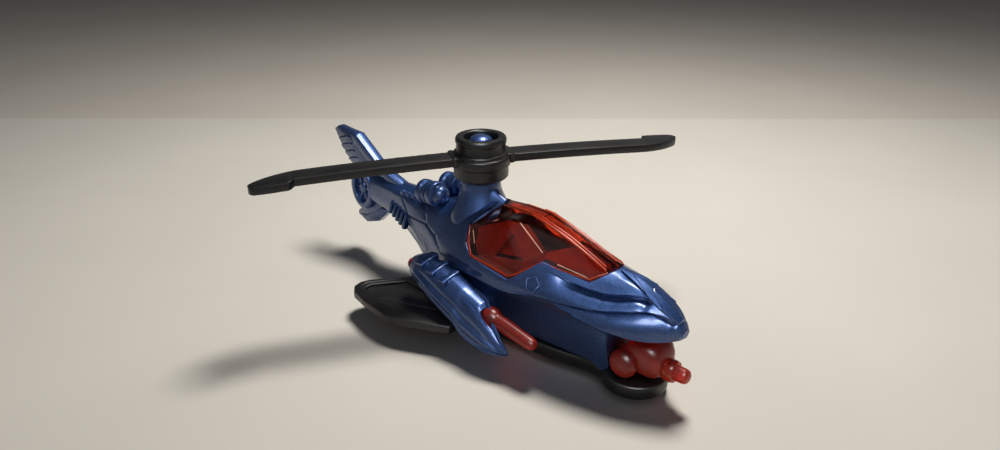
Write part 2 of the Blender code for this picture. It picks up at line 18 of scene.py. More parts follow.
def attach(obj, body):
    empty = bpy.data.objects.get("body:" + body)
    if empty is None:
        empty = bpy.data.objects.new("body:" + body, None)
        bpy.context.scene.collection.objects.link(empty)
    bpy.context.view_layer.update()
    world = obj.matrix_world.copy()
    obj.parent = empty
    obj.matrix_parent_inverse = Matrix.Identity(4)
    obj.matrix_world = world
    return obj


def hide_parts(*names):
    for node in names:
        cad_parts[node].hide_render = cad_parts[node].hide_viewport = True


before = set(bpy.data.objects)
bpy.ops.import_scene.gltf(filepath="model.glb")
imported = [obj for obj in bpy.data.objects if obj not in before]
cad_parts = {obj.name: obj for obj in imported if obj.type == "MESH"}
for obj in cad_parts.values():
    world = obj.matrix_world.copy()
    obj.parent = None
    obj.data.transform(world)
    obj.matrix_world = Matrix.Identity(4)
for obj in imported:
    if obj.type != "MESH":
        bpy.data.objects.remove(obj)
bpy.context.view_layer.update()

bl_info = {
    "name": "Die-cast toy helicopter",
    "version": (1, 0, 0),
    "blender": (4, 5, 0),
    "location": "View3D > Sidebar > Toy helicopter",
    "description": "Builds the finished pieces of a die-cast toy helicopter on its packed frame",
    "category": "Object",
}

MM = 0.001
SIDES = (-1, 1)

# Feature lines of the fuselage, as (x, half width, z) from the tail forward
SPINE = [(-30, 0, 17.9), (-22, 0, 18.5), (-12, 0, 18.7), (-5, 0, 19.6), (0, 0, 21.6), (6, 0, 22.6),
         (15, 0, 22.9), (21, 0, 21.3), (28, 0, 18.8), (33, 0, 18.1), (36.5, 0, 16.8), (39, 0, 15.4),
         (40.4, 0, 14.3), (41.0, 0, 13.3)]
RIDGE = [(-30, 0.9, 17.8), (-12, 1.6, 18.5), (0, 1.6, 21.4), (6, 1.2, 22.5), (15, 1.1, 22.8),
         (28, 1.2, 18.7), (33, 1.5, 17.9), (37, 1.5, 16.3), (39, 1.3, 15.1), (40.4, 0.9, 14.0),
         (41.0, 0.5, 13.2)]
SHOULDER = [(-30, 1.7, 16.8), (-20, 2.8, 17.2), (-12, 3.9, 17.2), (-5, 4.6, 18.2), (2, 4.6, 20.0),
            (8, 4.3, 21.2), (13, 4.1, 21.3), (20, 3.7, 19.8), (27, 3.2, 17.9), (33, 3.1, 16.9),
            (37, 2.6, 15.5), (39, 2.0, 14.5), (40.4, 1.3, 13.6), (41.0, 0.7, 13.1)]
SILL = [(-30, 2.0, 15.4), (-20, 2.9, 15.4), (-12, 4.6, 15.0), (-5, 6.1, 15.6), (2, 7.0, 16.6),
        (8, 7.3, 17.0), (14, 7.2, 16.9), (20, 6.2, 17.0), (27, 5.2, 16.3), (33, 4.4, 15.3),
        (37, 3.1, 14.5), (39, 2.2, 13.8), (40.4, 1.4, 13.2), (41.0, 0.8, 13.0)]
BAND = [(-30, 2.1, 13.9), (-20, 3.0, 13.6), (-12, 4.9, 13.0), (-5, 6.9, 13.4), (2, 8.2, 14.0),
        (8, 8.7, 14.3), (14, 8.6, 14.3), (20, 7.9, 14.4), (27, 6.9, 14.1), (33, 5.4, 13.7),
        (37, 3.6, 13.2), (39, 2.4, 12.9), (40.4, 1.4, 12.7), (41.0, 0.8, 12.8)]
LIP = [(-30, 1.8, 12.8), (-24, 2.0, 12.2), (-19.6, 2.5, 11.5), (-16, 3.2, 11.0), (-10.4, 5.0, 10.2),
       (-6.6, 6.5, 10.5), (1, 8.5, 12.0), (7, 9.0, 12.4), (13, 9.0, 12.3), (20.5, 8.1, 12.9),
       (27, 7.2, 12.3), (32.5, 6.0, 11.7), (36, 4.5, 11.4), (38.5, 2.6, 11.4), (40.2, 1.2, 11.9),
       (41.0, 0.6, 12.5)]
UNDER = [(-30, 1.0, 12.6), (-24, 1.2, 11.9), (-16, 2.4, 10.2), (-10.4, 4.0, 9.2), (-6.6, 5.4, 9.5),
         (1, 7.2, 11.0), (13, 7.6, 11.2), (20.5, 6.7, 11.8), (27, 5.8, 11.2), (32.5, 4.6, 10.7),
         (36, 3.2, 10.6), (38.5, 1.5, 10.9), (40.2, 0.8, 11.6), (41.0, 0.4, 12.3)]
CHINE = [(-30, 0.8, 12.4), (-24, 1.0, 11.6), (-16, 2.2, 8.8), (-11, 3.4, 6.6), (-6, 4.8, 6.3),
         (7, 6.3, 6.6), (13, 6.2, 6.7), (20, 5.6, 7.0), (27, 4.6, 7.2), (30.6, 4.3, 7.3),
         (31.2, 4.3, 10.5), (38.5, 0.9, 10.7), (40.2, 0.5, 11.5), (41.0, 0.3, 12.2)]
KEEL = [(-30, 0.5, 12.4), (-24, 0.6, 11.5), (-16, 1.8, 8.2), (-11, 2.8, 4.4), (-8, 3.8, 3.5),
        (7, 5.4, 3.5), (13, 5.2, 3.5), (20, 4.4, 3.5), (27, 3.6, 3.5), (30.6, 3.4, 3.5),
        (31.2, 3.3, 10.4), (38.5, 0.5, 10.6), (40.2, 0.3, 11.4), (41.0, 0.2, 12.2)]
LINES = [SPINE, RIDGE, SHOULDER, SILL, BAND, LIP, UNDER, CHINE, KEEL]
# How far the corner at each line is rounded, as a share of the facets beside it
LINE_ROUNDING = [0.4, 0.3, 0.3, 0.42, 0.42, 0.07, 0.2, 0.25, 0.1]
LIP_LINE = 5

# The two feathered steps of the nose, as (x, place between the feature lines)
UPPER_STEP = [(18.0, 2.9), (22.9, 2.95), (27.0, 2.85), (29.5, 2.65), (31.5, 2.3), (33.4, 1.75),
              (34.8, 1.2), (36.0, 1.04)]
LOWER_STEP = [(12.0, 4.7), (17.0, 4.6), (21.0, 4.5), (25.0, 4.2), (28.0, 3.95), (31.0, 3.6),
              (34.0, 2.95), (36.6, 2.1), (38.0, 1.5), (39.2, 1.1), (40.0, 1.04)]

# Outline of the clear canopy seen from the side, (x, z)
CANOPY_SIDE = [(6.2, 24.0), (2.5, 19.0), (3.4, 16.6), (5.6, 15.2), (14.2, 14.3), (15.3, 15.0),
               (18.7, 18.0), (26.9, 17.1), (28.6, 18.3), (30.2, 19.2), (24.0, 24.0)]

# Stations of the cast shell's hollow, and the room it leaves for the wings' roots
HOLLOW_STATIONS = [-5.5, -2, 1.5, 5.5, 10, 14.5, 18.6, 23, 27, 29.2]
WING_ROOM = ((-10.2, 7.5), (-9.5, 9.5), (2.5, 5.5))

# Scored panel lines on the body's sides, (x, z), with their half width and depth
SCORED = [[(-18.0, 16.9), (-15.6, 14.4), (-12.6, 12.6), (-9.6, 11.4)],
          [(-15.6, 14.4), (-9.0, 15.4), (-5.0, 14.6), (-2.0, 12.8)],
          [(-5.0, 14.6), (-3.4, 17.2)], [(-9.0, 15.4), (-10.2, 17.2)],
          [(-2.0, 12.8), (4.0, 13.6), (9.0, 13.2)]]
SCORE_WIDTH = 0.24
SCORE_DEPTH = 0.2

# Length over which a feathered step fades, and the width of its sheer edge
STEP_LENGTH = 2.6
STEP_EDGE = 0.1

# Strip down the middle of the nose, as (x, half width), and how far it stands up
STRIP_WIDTHS = [(29.6, 0.3), (31.0, 0.75), (33.0, 1.25), (35.5, 1.7), (37.5, 1.75), (39.0, 1.35),
                (40.2, 0.8)]
STRIP_RISE = 0.3
STRIP_DEPTH = 1.0
CHEVRON_HALF = 1.6
CHEVRON_RADIUS = 0.11

# Pod cross-sections from rear to front: x, then inner, outer, bottom and top limits
POD_SECTIONS = [(-5.2, 9.4, 12.2, 9.2, 12.4), (-3.4, 8.8, 12.9, 8.4, 13.3),
                (1.0, 8.4, 13.7, 6.8, 12.8), (4.5, 8.4, 14.0, 5.6, 12.1),
                (7.4, 8.6, 14.1, 4.6, 11.4), (9.0, 8.7, 14.1, 3.0, 10.9),
                (11.5, 9.0, 14.0, 2.3, 10.2), (14.0, 10.4, 13.8, 2.5, 8.2),
                (16.4, 11.6, 13.3, 3.3, 6.1), (18.4, 12.3, 12.8, 4.2, 4.8)]

# Pod guns: a rod through each pod, tipped seven degrees nose down
GUN_SIDE = 10.6
GUN_REAR = (-6.0, 10.6)
GUN_FRONT = (22.4, 6.9)
GUN_MOUTH = 1.85

# Centres seen from the side, (x, z)
TURRET_CENTRE = (33.3, 5.8)
TURRET_TIP = (42.3, 6.0)
DUCT_CENTRE = (-32.8, 14.4)
DRUM_SIDE = 2.7

# Base plate, its rollers and the posts peened under it
BASE_BOTTOM = 1.0
BASE_TOP = 3.2
WING_BOTTOM = 3.6
WING_TOP = 5.2
SKID_CENTRE = 33.3
SKID_RADIUS = 5.0
POSTS = (29.8, -10.8)
AXLES = (("front", 15.5), ("rear", -4.5))
WHEEL_RADIUS = 2.2
WHEEL_TRACK = 3.4
WELL_SIDE = 4.95

# Rotor blades: height of the top at the mast, and the rounding of their edges
BLADE_TOP = 29.4
BLADE_SOFT = 0.22
BLADE_NICK = 0.06

# Camera: where it stands, its lens, and its yaw, pitch and roll in degrees
EYE_PLACE = (83.56, -80.09, 69.17)
EYE_LENS = 26.5
EYE_ANGLES = (134.64, 24.57, 0.17)

# The lamp, then the window and its bright middle, which show only as reflections. Each window
# has its direction from the nose, its width and height in metres, and its share of the power.
LAMP_PLACE = (-11, 75, 239)
LAMP_SIZE = 0.07
WINDOWS = (("window", (0.1, -0.65, 0.75), 0.5, 0.3, 0.12),
           ("window_middle", (0.36, -0.46, 0.81), 0.16, 0.12, 1.0))
WINDOW_DISTANCE = 300
NOSE = (37, -4, 15)


# ---------------------------------------------------------------- colour and nodes
def linear(code):
    """Linear colour of an sRGB hex code."""
    parts = [int(code[k:k + 2], 16) / 255 for k in (1, 3, 5)]
    return tuple(c / 12.92 if c <= 0.04045 else ((c + 0.055) / 1.055) ** 2.4 for c in parts)


def add(tree, kind, inputs=None, **settings):
    """Node of a kind, with its settings and its inputs: a value, or a socket to link from."""
    node = tree.nodes.new(kind)
    for name, value in settings.items():
        setattr(node, name, value)
    for name, value in (inputs or {}).items():
        if isinstance(value, bpy.types.NodeSocket):
            tree.links.new(value, node.inputs[name])
        elif isinstance(node.inputs[name].default_value, float) or not hasattr(value, "__len__"):
            node.inputs[name].default_value = value
        else:
            wide = len(node.inputs[name].default_value)
            node.inputs[name].default_value = (tuple(value) + (1.0,))[:wide]
    return node


def start_material(name, **constants):
    """New material: its tree, its shader with constants set, and object coordinates in mm."""
    look = bpy.data.materials.new(name)
    look.use_nodes = True
    tree = look.node_tree
    shader = tree.nodes["Principled BSDF"]
    for key, value in constants.items():
        socket = shader.inputs[key.replace("_", " ")]
        socket.default_value = (*value, 1.0) if hasattr(value, "__len__") else value
    place = add(tree, "ShaderNodeTexCoord").outputs["Object"]
    scaled = add(tree, "ShaderNodeMapping", {"Vector": place, "Scale": (1 / MM,) * 3})
    return look, tree, shader, scaled.outputs["Vector"]


def ramp(tree, source, stops):
    """Colour ramp through (place, colour) stops."""
    node = add(tree, "ShaderNodeValToRGB", {"Fac": source})
    points = node.color_ramp.elements
    while len(points) < len(stops):
        points.new(0.5)
    for point, (place, colour) in zip(points, stops):
        point.position = place
        point.color = (*colour, 1.0) if hasattr(colour, "__len__") else (colour,) * 3 + (1.0,)
    return node.outputs["Color"]


def link_bump(tree, shader, height, strength, distance_mm, below=None):
    inputs = {"Height": height, "Strength": strength, "Distance": distance_mm * MM}
    if below is not None:
        inputs["Normal"] = below
    bump = add(tree, "ShaderNodeBump", inputs)
    tree.links.new(bump.outputs["Normal"], shader.inputs["Normal"])
    return bump.outputs["Normal"]


# ---------------------------------------------------------------- materials
def metallic_enamel(finish):
    """Metallic enamel sprayed on a zinc casting: flakes that glint, a clear gloss, rubbed chips."""
    look, tree, shader, place = start_material(
        "Metallic blue enamel, sprayed on zinc", Metallic=0.7, Coat_Weight=1.0,
        Coat_Roughness=0.22)
    # Flakes are drawn 0.13 mm wide, several times the real ones, so that they show
    flakes = add(tree, "ShaderNodeTexVoronoi", {"Vector": place, "Scale": 7.5})
    glint = add(tree, "ShaderNodeSeparateColor", {"Color": flakes.outputs["Color"]})
    blue = tuple(finish.enamel)
    deep = tuple(c * 0.78 for c in blue)
    pale = tuple(min(1.0, c * 1.35 + 0.006) for c in blue)
    flake_blue = ramp(tree, glint.outputs["Red"], [(0.0, deep), (0.55, blue), (1.0, pale)])
    cloud = add(tree, "ShaderNodeTexNoise", {"Vector": place, "Scale": 0.22, "Detail": 3.0})
    cloudy = ramp(tree, cloud.outputs["Fac"], [(0.3, 0.86), (0.7, 1.08)])
    body = add(tree, "ShaderNodeMix", {"Factor": 1.0, "A": flake_blue, "B": cloudy},
               data_type="RGBA", blend_type="MULTIPLY")
    # Chips where the enamel has been knocked off: 0.3 to 0.8 mm, sparse, dull dark zinc below
    chip = add(tree, "ShaderNodeTexNoise", {"Vector": place, "Scale": 1.15, "Detail": 4.0,
                                            "Roughness": 0.55})
    chipped = ramp(tree, chip.outputs["Fac"], [(0.735, 0.0), (0.75, 1.0)])
    coloured = add(tree, "ShaderNodeMix", {"Factor": chipped, "A": body.outputs["Result"],
                                           "B": linear("#2a2a30")}, data_type="RGBA")
    tree.links.new(coloured.outputs["Result"], shader.inputs["Base Color"])
    rough = add(tree, "ShaderNodeMapRange", {"Value": glint.outputs["Green"], "To Min": 0.38,
                                             "To Max": 0.5})
    tree.links.new(rough.outputs["Result"], shader.inputs["Roughness"])
    peel = add(tree, "ShaderNodeTexNoise", {"Vector": place, "Scale": 1.6, "Detail": 2.0})
    smooth = link_bump(tree, shader, peel.outputs["Fac"], 0.25, 0.05)
    link_bump(tree, shader, glint.outputs["Blue"], 0.16, 0.02, smooth)
    return look


def clear_polystyrene(name, colour, roughness=0.07, cloud=0.0):
    """Tinted polystyrene, injection moulded: clear and glossy, with faint flow lines."""
    look, tree, shader, place = start_material(
        name, Transmission_Weight=1.0 - cloud, IOR=1.55, Specular_IOR_Level=0.3)
    flow = add(tree, "ShaderNodeTexNoise", {"Vector": place, "Scale": 0.35, "Detail": 3.0})
    deep = tuple(c * 0.8 for c in colour)
    tint = ramp(tree, flow.outputs["Fac"], [(0.3, deep), (0.7, colour)])
    tree.links.new(tint, shader.inputs["Base Color"])
    haze = add(tree, "ShaderNodeMapRange", {"Value": flow.outputs["Fac"],
                                            "To Min": roughness * 0.7, "To Max": roughness * 1.4})
    tree.links.new(haze.outputs["Result"], shader.inputs["Roughness"])
    link_bump(tree, shader, flow.outputs["Fac"], 0.12, 0.08)
    return look


def moulded_plastic(name, colour, roughness):
    """Solid-coloured plastic, injection moulded: a fine satin grain and a few pale scuffs."""
    look, tree, shader, place = start_material(name, IOR=1.53)
    grain = add(tree, "ShaderNodeTexNoise", {"Vector": place, "Scale": 7.0, "Detail": 3.0})
    wide = add(tree, "ShaderNodeTexNoise", {"Vector": place, "Scale": 0.3, "Detail": 4.0})
    stretch = add(tree, "ShaderNodeMapping", {"Vector": place, "Scale": (1.6, 0.35, 1.2),
                                              "Rotation": (0.0, 0.0, 0.5)})
    scuff = add(tree, "ShaderNodeTexNoise", {"Vector": stretch.outputs["Vector"], "Scale": 1.3,
                                             "Detail": 6.0, "Roughness": 0.7})
    rubbed = ramp(tree, scuff.outputs["Fac"], [(0.58, 0.0), (0.8, 0.35)])
    pale = tuple(c * 2.2 + 0.008 for c in colour)
    base = ramp(tree, wide.outputs["Fac"], [(0.3, colour), (0.7, tuple(c * 1.35 for c in colour))])
    mixed = add(tree, "ShaderNodeMix", {"Factor": rubbed, "A": base, "B": pale}, data_type="RGBA")
    tree.links.new(mixed.outputs["Result"], shader.inputs["Base Color"])
    rough = add(tree, "ShaderNodeMapRange", {"Value": wide.outputs["Fac"],
                                             "To Min": roughness - 0.07, "To Max": roughness + 0.1})
    tree.links.new(rough.outputs["Result"], shader.inputs["Roughness"])
    link_bump(tree, shader, grain.outputs["Fac"], 0.22, 0.03)
    return look


def drawn_steel():
    """Plain steel wire, drawn: fine lines along the pin and a slight grey bloom."""
    look, tree, shader, place = start_material("Plain steel, drawn", Metallic=1.0)
    # The lines run along Y, as the pins do
    lines = add(tree, "ShaderNodeMapping", {"Vector": place, "Scale": (9.0, 0.4, 9.0)})
    drawn = add(tree, "ShaderNodeTexNoise", {"Vector": lines.outputs["Vector"], "Scale": 1.0,
                                             "Detail": 4.0})
    tint = ramp(tree, drawn.outputs["Fac"], [(0.3, linear("#8f9094")), (0.7, linear("#c4c5c9"))])
    tree.links.new(tint, shader.inputs["Base Color"])
    rough = add(tree, "ShaderNodeMapRange", {"Value": drawn.outputs["Fac"], "To Min": 0.25,
                                             "To Max": 0.42})
    tree.links.new(rough.outputs["Result"], shader.inputs["Roughness"])
    link_bump(tree, shader, drawn.outputs["Fac"], 0.15, 0.01)
    return look


def paper(name, colour, roughness=0.85):
    """Uncoated paper, calendered: a soft mottle of fibres, all but matt."""
    look, tree, shader, place = start_material(name, Specular_IOR_Level=0.25)
    mottle = add(tree, "ShaderNodeTexNoise", {"Vector": place, "Scale": 0.02, "Detail": 5.0})
    tint = ramp(tree, mottle.outputs["Fac"], [(0.3, tuple(c * 0.94 for c in colour)),
                                              (0.7, tuple(colour))])
    tree.links.new(tint, shader.inputs["Base Color"])
    shader.inputs["Roughness"].default_value = roughness
    fibre = add(tree, "ShaderNodeTexNoise", {"Vector": place, "Scale": 1.2, "Detail": 5.0})
    link_bump(tree, shader, fibre.outputs["Fac"], 0.1, 0.1)
    return look


def look_named(start):
    """A material made earlier, by the first words of its name."""
    return next(m for m in bpy.data.materials if m.name.startswith(start))


# ---------------------------------------------------------------- mesh helpers
def settle(item):
    """Apply an object's modifiers."""
    graph = bpy.context.evaluated_depsgraph_get()
    mesh = bpy.data.meshes.new_from_object(item.evaluated_get(graph))
    item.modifiers.clear()
    item.data = mesh
    return item


def piece(name, verts, faces):
    """Mesh object from millimetre points: merged, closed caps, faces outward."""
    mesh = bpy.data.meshes.new(name)
    mesh.from_pydata([Vector(v) * MM for v in verts], [], faces)
    work = bmesh.new()
    work.from_mesh(mesh)
    bmesh.ops.remove_doubles(work, verts=work.verts, dist=0.001 * MM)
    bmesh.ops.recalc_face_normals(work, faces=work.faces)
    work.to_mesh(mesh)
    work.free()
    item = bpy.data.objects.new(name, mesh)
    bpy.context.scene.collection.objects.link(item)
    return item


def loft(name, rings):
    """Skin between equal rings of points, with a cap at each end."""
    count = len(rings[0])
    verts = [tuple(point) for ring in rings for point in ring]
    faces = []
    for r in range(len(rings) - 1):
        for k in range(count):
            near = r * count + k
            nxt = r * count + (k + 1) % count
            faces.append((near, nxt, nxt + count, near + count))
    faces.append(tuple(range(count)))
    faces.append(tuple(range((len(rings) - 1) * count, len(rings) * count)))
    return piece(name, verts, faces)


def slab(name, outline, low, high, axis="Z"):
    """Outline extruded between two heights: (x, y) along Z, or (x, z) along Y."""
    if axis == "Z":
        return loft(name, [[(a, b, h) for a, b in outline] for h in (low, high)])
    return loft(name, [[(a, h, b) for a, b in outline] for h in (low, high)])


def block(name, across_x, across_y, across_z):
    outline = [(across_x[0], across_y[0]), (across_x[1], across_y[0]),
               (across_x[1], across_y[1]), (across_x[0], across_y[1])]
    return slab(name, outline, *across_z)


def bevel(item, width, segments=2, angle=30):
    step = item.modifiers.new("bevel", "BEVEL")
    step.width = width * MM
    step.segments = segments
    step.limit_method = "ANGLE"
    step.angle_limit = math.radians(angle)
    return settle(item)


def cut(item, *tools):
    """Take the tools out of an object."""
    for tool in tools:
        step = item.modifiers.new("cut", "BOOLEAN")
        step.operation = "DIFFERENCE"
        step.object = tool
        settle(item)
        bpy.data.objects.remove(tool)
    return item


def merge(name, *items):
    """Several meshes as one object."""
    work = bmesh.new()
    for item in items:
        work.from_mesh(item.data)
        bpy.data.objects.remove(item)
    mesh = bpy.data.meshes.new(name)
    work.to_mesh(mesh)
    work.free()
    item = bpy.data.objects.new(name, mesh)
    bpy.context.scene.collection.objects.link(item)
    return item


def moved(item, place):
    """Put a matrix, its shift in millimetres, into an object's mesh."""
    place = place.copy()
    place.translation *= MM
    item.data.transform(place)
    if place.determinant() < 0:
        item.data.flip_normals()
    return item


def finish(item, look, body, slot, *nodes, smooth=28):
    """Shade a piece, give it its material, and hand it to its body."""
    item.data.materials.clear()
    item.data.materials.append(look)
    item.data.shade_smooth()
    item.data.set_sharp_from_angle(angle=math.radians(smooth))
    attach(item, body)
    if nodes:
        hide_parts(*nodes)
    return item


def pointing(start, end):
    """Matrix that stands local Z along the line from start to end."""
    start = Vector(start)
    along = Vector(end) - start
    return Matrix.Translation(start) @ along.to_track_quat("Z", "Y").to_matrix().to_4x4()


def mirrored(outline):
    """Outline of (x, y) points, closed by its own mirror image across the middle."""
    return outline + [(x, -y) for x, y in reversed(outline)]


def arc(centre, radii, start, end, steps):
    """Points of an elliptical arc, angles in degrees."""
    turns = [math.radians(start + (end - start) * k / steps) for k in range(steps + 1)]
    return [(centre[0] + radii[0] * math.cos(turn), centre[1] + radii[1] * math.sin(turn))
            for turn in turns]


def table(rows, x):
    """Straight-line look-up in a table of (x, value, ...) rows."""
    rows = np.array(rows, float)
    found = [float(np.interp(x, rows[:, 0], rows[:, c])) for c in range(1, rows.shape[1])]
    return found[0] if len(found) == 1 else found


def flipped(side, points):
    """(x, y) points put on a side of the toy."""
    return [(x, side * y) for x, y in points]


def placed(x, y, z, angle=0, axis="X"):
    """Matrix that turns by an angle in degrees about an axis, then shifts, in millimetres."""
    return Matrix.Translation((x, y, z)) @ Matrix.Rotation(math.radians(angle), 4, axis)


def ease(low, high, x):
    """Smooth rise from 0 at low to 1 at high."""
    t = np.clip((x - low) / (high - low), 0.0, 1.0)
    return t * t * (3 - 2 * t)


# ---------------------------------------------------------------- geometry node trees
def node_group(name, inputs):
    """Geometry node tree with a geometry socket and the named inputs."""
    tree = bpy.data.node_groups.new(name, "GeometryNodeTree")
    tree.interface.new_socket("Geometry", in_out="INPUT", socket_type="NodeSocketGeometry")
    for label, kind, default in inputs:
        socket = tree.interface.new_socket(label, in_out="INPUT", socket_type=kind)
        if default is not None:
            socket.default_value = default
    tree.interface.new_socket("Geometry", in_out="OUTPUT", socket_type="NodeSocketGeometry")
    return tree, add(tree, "NodeGroupInput").outputs


def turning_tree():
    """Turns a profile, its points in order in the XZ plane, about Z into a closed solid."""
    tree, given = node_group("Turned piece", [
        ("Sides", "NodeSocketInt", 48), ("Material", "NodeSocketMaterial", None)])
    count = add(tree, "GeometryNodeAttributeDomainSize", {"Geometry": given["Geometry"]})
    points = count.outputs["Point Count"]
    around = add(tree, "ShaderNodeMath", {0: given["Sides"], 1: 1.0}, operation="ADD")
    grid = add(tree, "GeometryNodeMeshGrid", {"Vertices X": around.outputs[0],
                                              "Vertices Y": points})
    index = add(tree, "GeometryNodeInputIndex").outputs["Index"]
    row = add(tree, "FunctionNodeIntegerMath", {0: index, 1: points}, operation="MODULO")
    column = add(tree, "FunctionNodeIntegerMath", {0: index, 1: points}, operation="DIVIDE")
    spot = add(tree, "GeometryNodeInputPosition").outputs["Position"]
    held = add(tree, "GeometryNodeSampleIndex", {"Geometry": given["Geometry"],
                                                 "Value": spot, "Index": row.outputs[0]},
               data_type="FLOAT_VECTOR")
    share = add(tree, "ShaderNodeMath", {0: column.outputs[0], 1: given["Sides"]},
                operation="DIVIDE")
    angle = add(tree, "ShaderNodeMath", {0: share.outputs[0], 1: 2 * math.pi},
                operation="MULTIPLY")
    turned = add(tree, "ShaderNodeVectorRotate", {"Vector": held.outputs["Value"],
                                                  "Angle": angle.outputs[0]},
                 rotation_type="Z_AXIS")
    shaped = add(tree, "GeometryNodeSetPosition", {"Geometry": grid.outputs["Mesh"],
                                                   "Position": turned.outputs["Vector"]})
    closed = add(tree, "GeometryNodeMergeByDistance", {"Geometry": shaped.outputs["Geometry"],
                                                       "Distance": 0.002 * MM})
    real = add(tree, "GeometryNodeRealizeInstances", {"Geometry": closed.outputs["Geometry"]})
    coated = add(tree, "GeometryNodeSetMaterial", {"Geometry": real.outputs["Geometry"],
                                                   "Material": given["Material"]})
    add(tree, "NodeGroupOutput", {"Geometry": coated.outputs["Geometry"]})


def row_tree():
    """Repeats the object's own mesh along a line, shrinking evenly to its last copy."""
    tree, given = node_group("Row of copies", [
        ("Count", "NodeSocketInt", 4), ("Step", "NodeSocketVector", None),
        ("Last scale", "NodeSocketFloat", 1.0), ("Material", "NodeSocketMaterial", None)])
    line = add(tree, "GeometryNodeMeshLine", {"Count": given["Count"], "Offset": given["Step"]})
    index = add(tree, "GeometryNodeInputIndex").outputs["Index"]
    last = add(tree, "ShaderNodeMath", {0: given["Count"], 1: 1.0}, operation="SUBTRACT")
    scale = add(tree, "ShaderNodeMapRange", {"Value": index, "From Max": last.outputs[0],
                                             "To Min": 1.0, "To Max": given["Last scale"]})
    copies = add(tree, "GeometryNodeInstanceOnPoints", {"Points": line.outputs["Mesh"],
                                                        "Instance": given["Geometry"],
                                                        "Scale": scale.outputs["Result"]})
    real = add(tree, "GeometryNodeRealizeInstances", {"Geometry": copies.outputs["Instances"]})
    coated = add(tree, "GeometryNodeSetMaterial", {"Geometry": real.outputs["Geometry"],
                                                   "Material": given["Material"]})
    add(tree, "NodeGroupOutput", {"Geometry": coated.outputs["Geometry"]})


def grown_by(item, tree_name, look, **values):
    """Run a node tree on an object and keep the result as its plain mesh."""
    tree = bpy.data.node_groups[tree_name]
    step = item.modifiers.new("grow", "NODES")
    step.node_group = tree
    values["Material"] = look
    for socket in tree.interface.items_tree:
        if socket.in_out == "INPUT" and socket.name in values:
            step[socket.identifier] = values[socket.name]
    return settle(item)


def turned(name, profile, look, sides=64, place=None):
    """Profile of (radius, height) turned about Z by the node tree, then put in place."""
    mesh = bpy.data.meshes.new(name)
    verts = [(radius * MM, 0.0, height * MM) for radius, height in profile]
    mesh.from_pydata(verts, [(k, k + 1) for k in range(len(verts) - 1)], [])
    item = bpy.data.objects.new(name, mesh)
    bpy.context.scene.collection.objects.link(item)
    grown_by(item, "Turned piece", look, Sides=sides)
    work = bmesh.new()
    work.from_mesh(item.data)
    bmesh.ops.dissolve_degenerate(work, edges=work.edges, dist=0.001 * MM)
    bmesh.ops.holes_fill(work, edges=[e for e in work.edges if e.is_boundary], sides=0)
    bmesh.ops.recalc_face_normals(work, faces=work.faces)
    work.to_mesh(item.data)
    work.free()
    return moved(item, place) if place is not None else item


def row(item, look, count, step, last_scale=1.0):
    """Copies of an object in a row, by the node tree; the step is in millimetres."""
    return grown_by(item, "Row of copies", look, **{
        "Count": count, "Step": [s * MM for s in step], "Last scale": last_scale})


def softened(profile, radius):
    """Profile with each inner corner rounded by a short three-point curve."""
    soft = [profile[0]]
    for before, corner, after in zip(profile, profile[1:], profile[2:]):
        corner = Vector(corner)
        near = [Vector(p) - corner for p in (before, after)]
        ends = [corner + v.normalized() * min(radius, v.length * 0.4) for v in near]
        soft += [tuple(ends[0]), tuple((ends[0] + ends[1] + 2 * corner) / 4), tuple(ends[1])]
    return soft + [profile[-1]]


# ---------------------------------------------------------------- fuselage
def along(line, x):
    """Half width and height of a feature line at x, by a smooth curve through its points."""
    if x <= line[0][0]:
        return line[0][1:]
    if x >= line[-1][0]:
        return line[-1][1:]
    k = next(i for i in range(len(line) - 1) if line[i + 1][0] > x)
    low, high = line[k], line[k + 1]
    before = line[max(k - 1, 0)]
    after = line[min(k + 2, len(line) - 1)]
    span = high[0] - low[0]
    t = (x - low[0]) / span
    found = []
    for c in (1, 2):
        slope_low = (high[c] - before[c]) / (high[0] - before[0]) * span
        slope_high = (after[c] - low[c]) / (after[0] - low[0]) * span
        found.append((2 * t**3 - 3 * t**2 + 1) * low[c] + (t**3 - 2 * t**2 + t) * slope_low
                     + (3 * t**2 - 2 * t**3) * high[c] + (t**3 - t**2) * slope_high)
    return tuple(found)


def rounded_path(points, rounding, places):
    """Points at places along a polyline whose inner corners are rounded by small curves."""
    found = []
    last = len(points) - 1
    for place in places:
        k = int(round(place))
        off = place - k
        reach = rounding[k] if 0 < k < last else 0.0
        if abs(off) < reach:
            a = points[k] + (points[k - 1] - points[k]) * reach
            b = points[k] + (points[k + 1] - points[k]) * reach
            u = 0.5 + off / (2 * reach)
            found.append((1 - u) ** 2 * a + 2 * u * (1 - u) * points[k] + u * u * b)
        else:
            low = min(int(math.floor(place)), last - 1)
            share = place - low
            found.append(points[low] * (1 - share) + points[low + 1] * share)
    return np.array(found)


def between(start, end, count, power=1.0, from_end=False):
    """Places from start up to end, crowded toward one of them."""
    shares = np.arange(count) / count
    if from_end:
        return end - (end - start) * (1 - shares) ** power
    return start + (end - start) * shares ** power


def side_places(x):
    """Columns of the skin from spine to keel, with columns along both steps of the nose."""
    upper, lower = table(UPPER_STEP, x), table(LOWER_STEP, x)
    runs = [between(0, 1, 5), between(1, upper, 10, 1.6, True), between(upper, lower, 16, 1.6),
            between(lower, LIP_LINE, 10, 1.5), between(LIP_LINE, 6, 4), between(6, 7, 8),
            between(7, 8, 4), np.array([8.0])]
    return np.concatenate(runs), (15, 31)


def step_depth(x, distance, start, full, end, fade):
    """Share of a feathered step's depth: sheer at its line, fading out below it."""
    strength = ease(start, full, x) * (1 - ease(end, fade, x))
    return strength * ease(0.0, STEP_EDGE, distance) * np.clip(
        1 - distance / STEP_LENGTH, 0, 1) ** 1.35


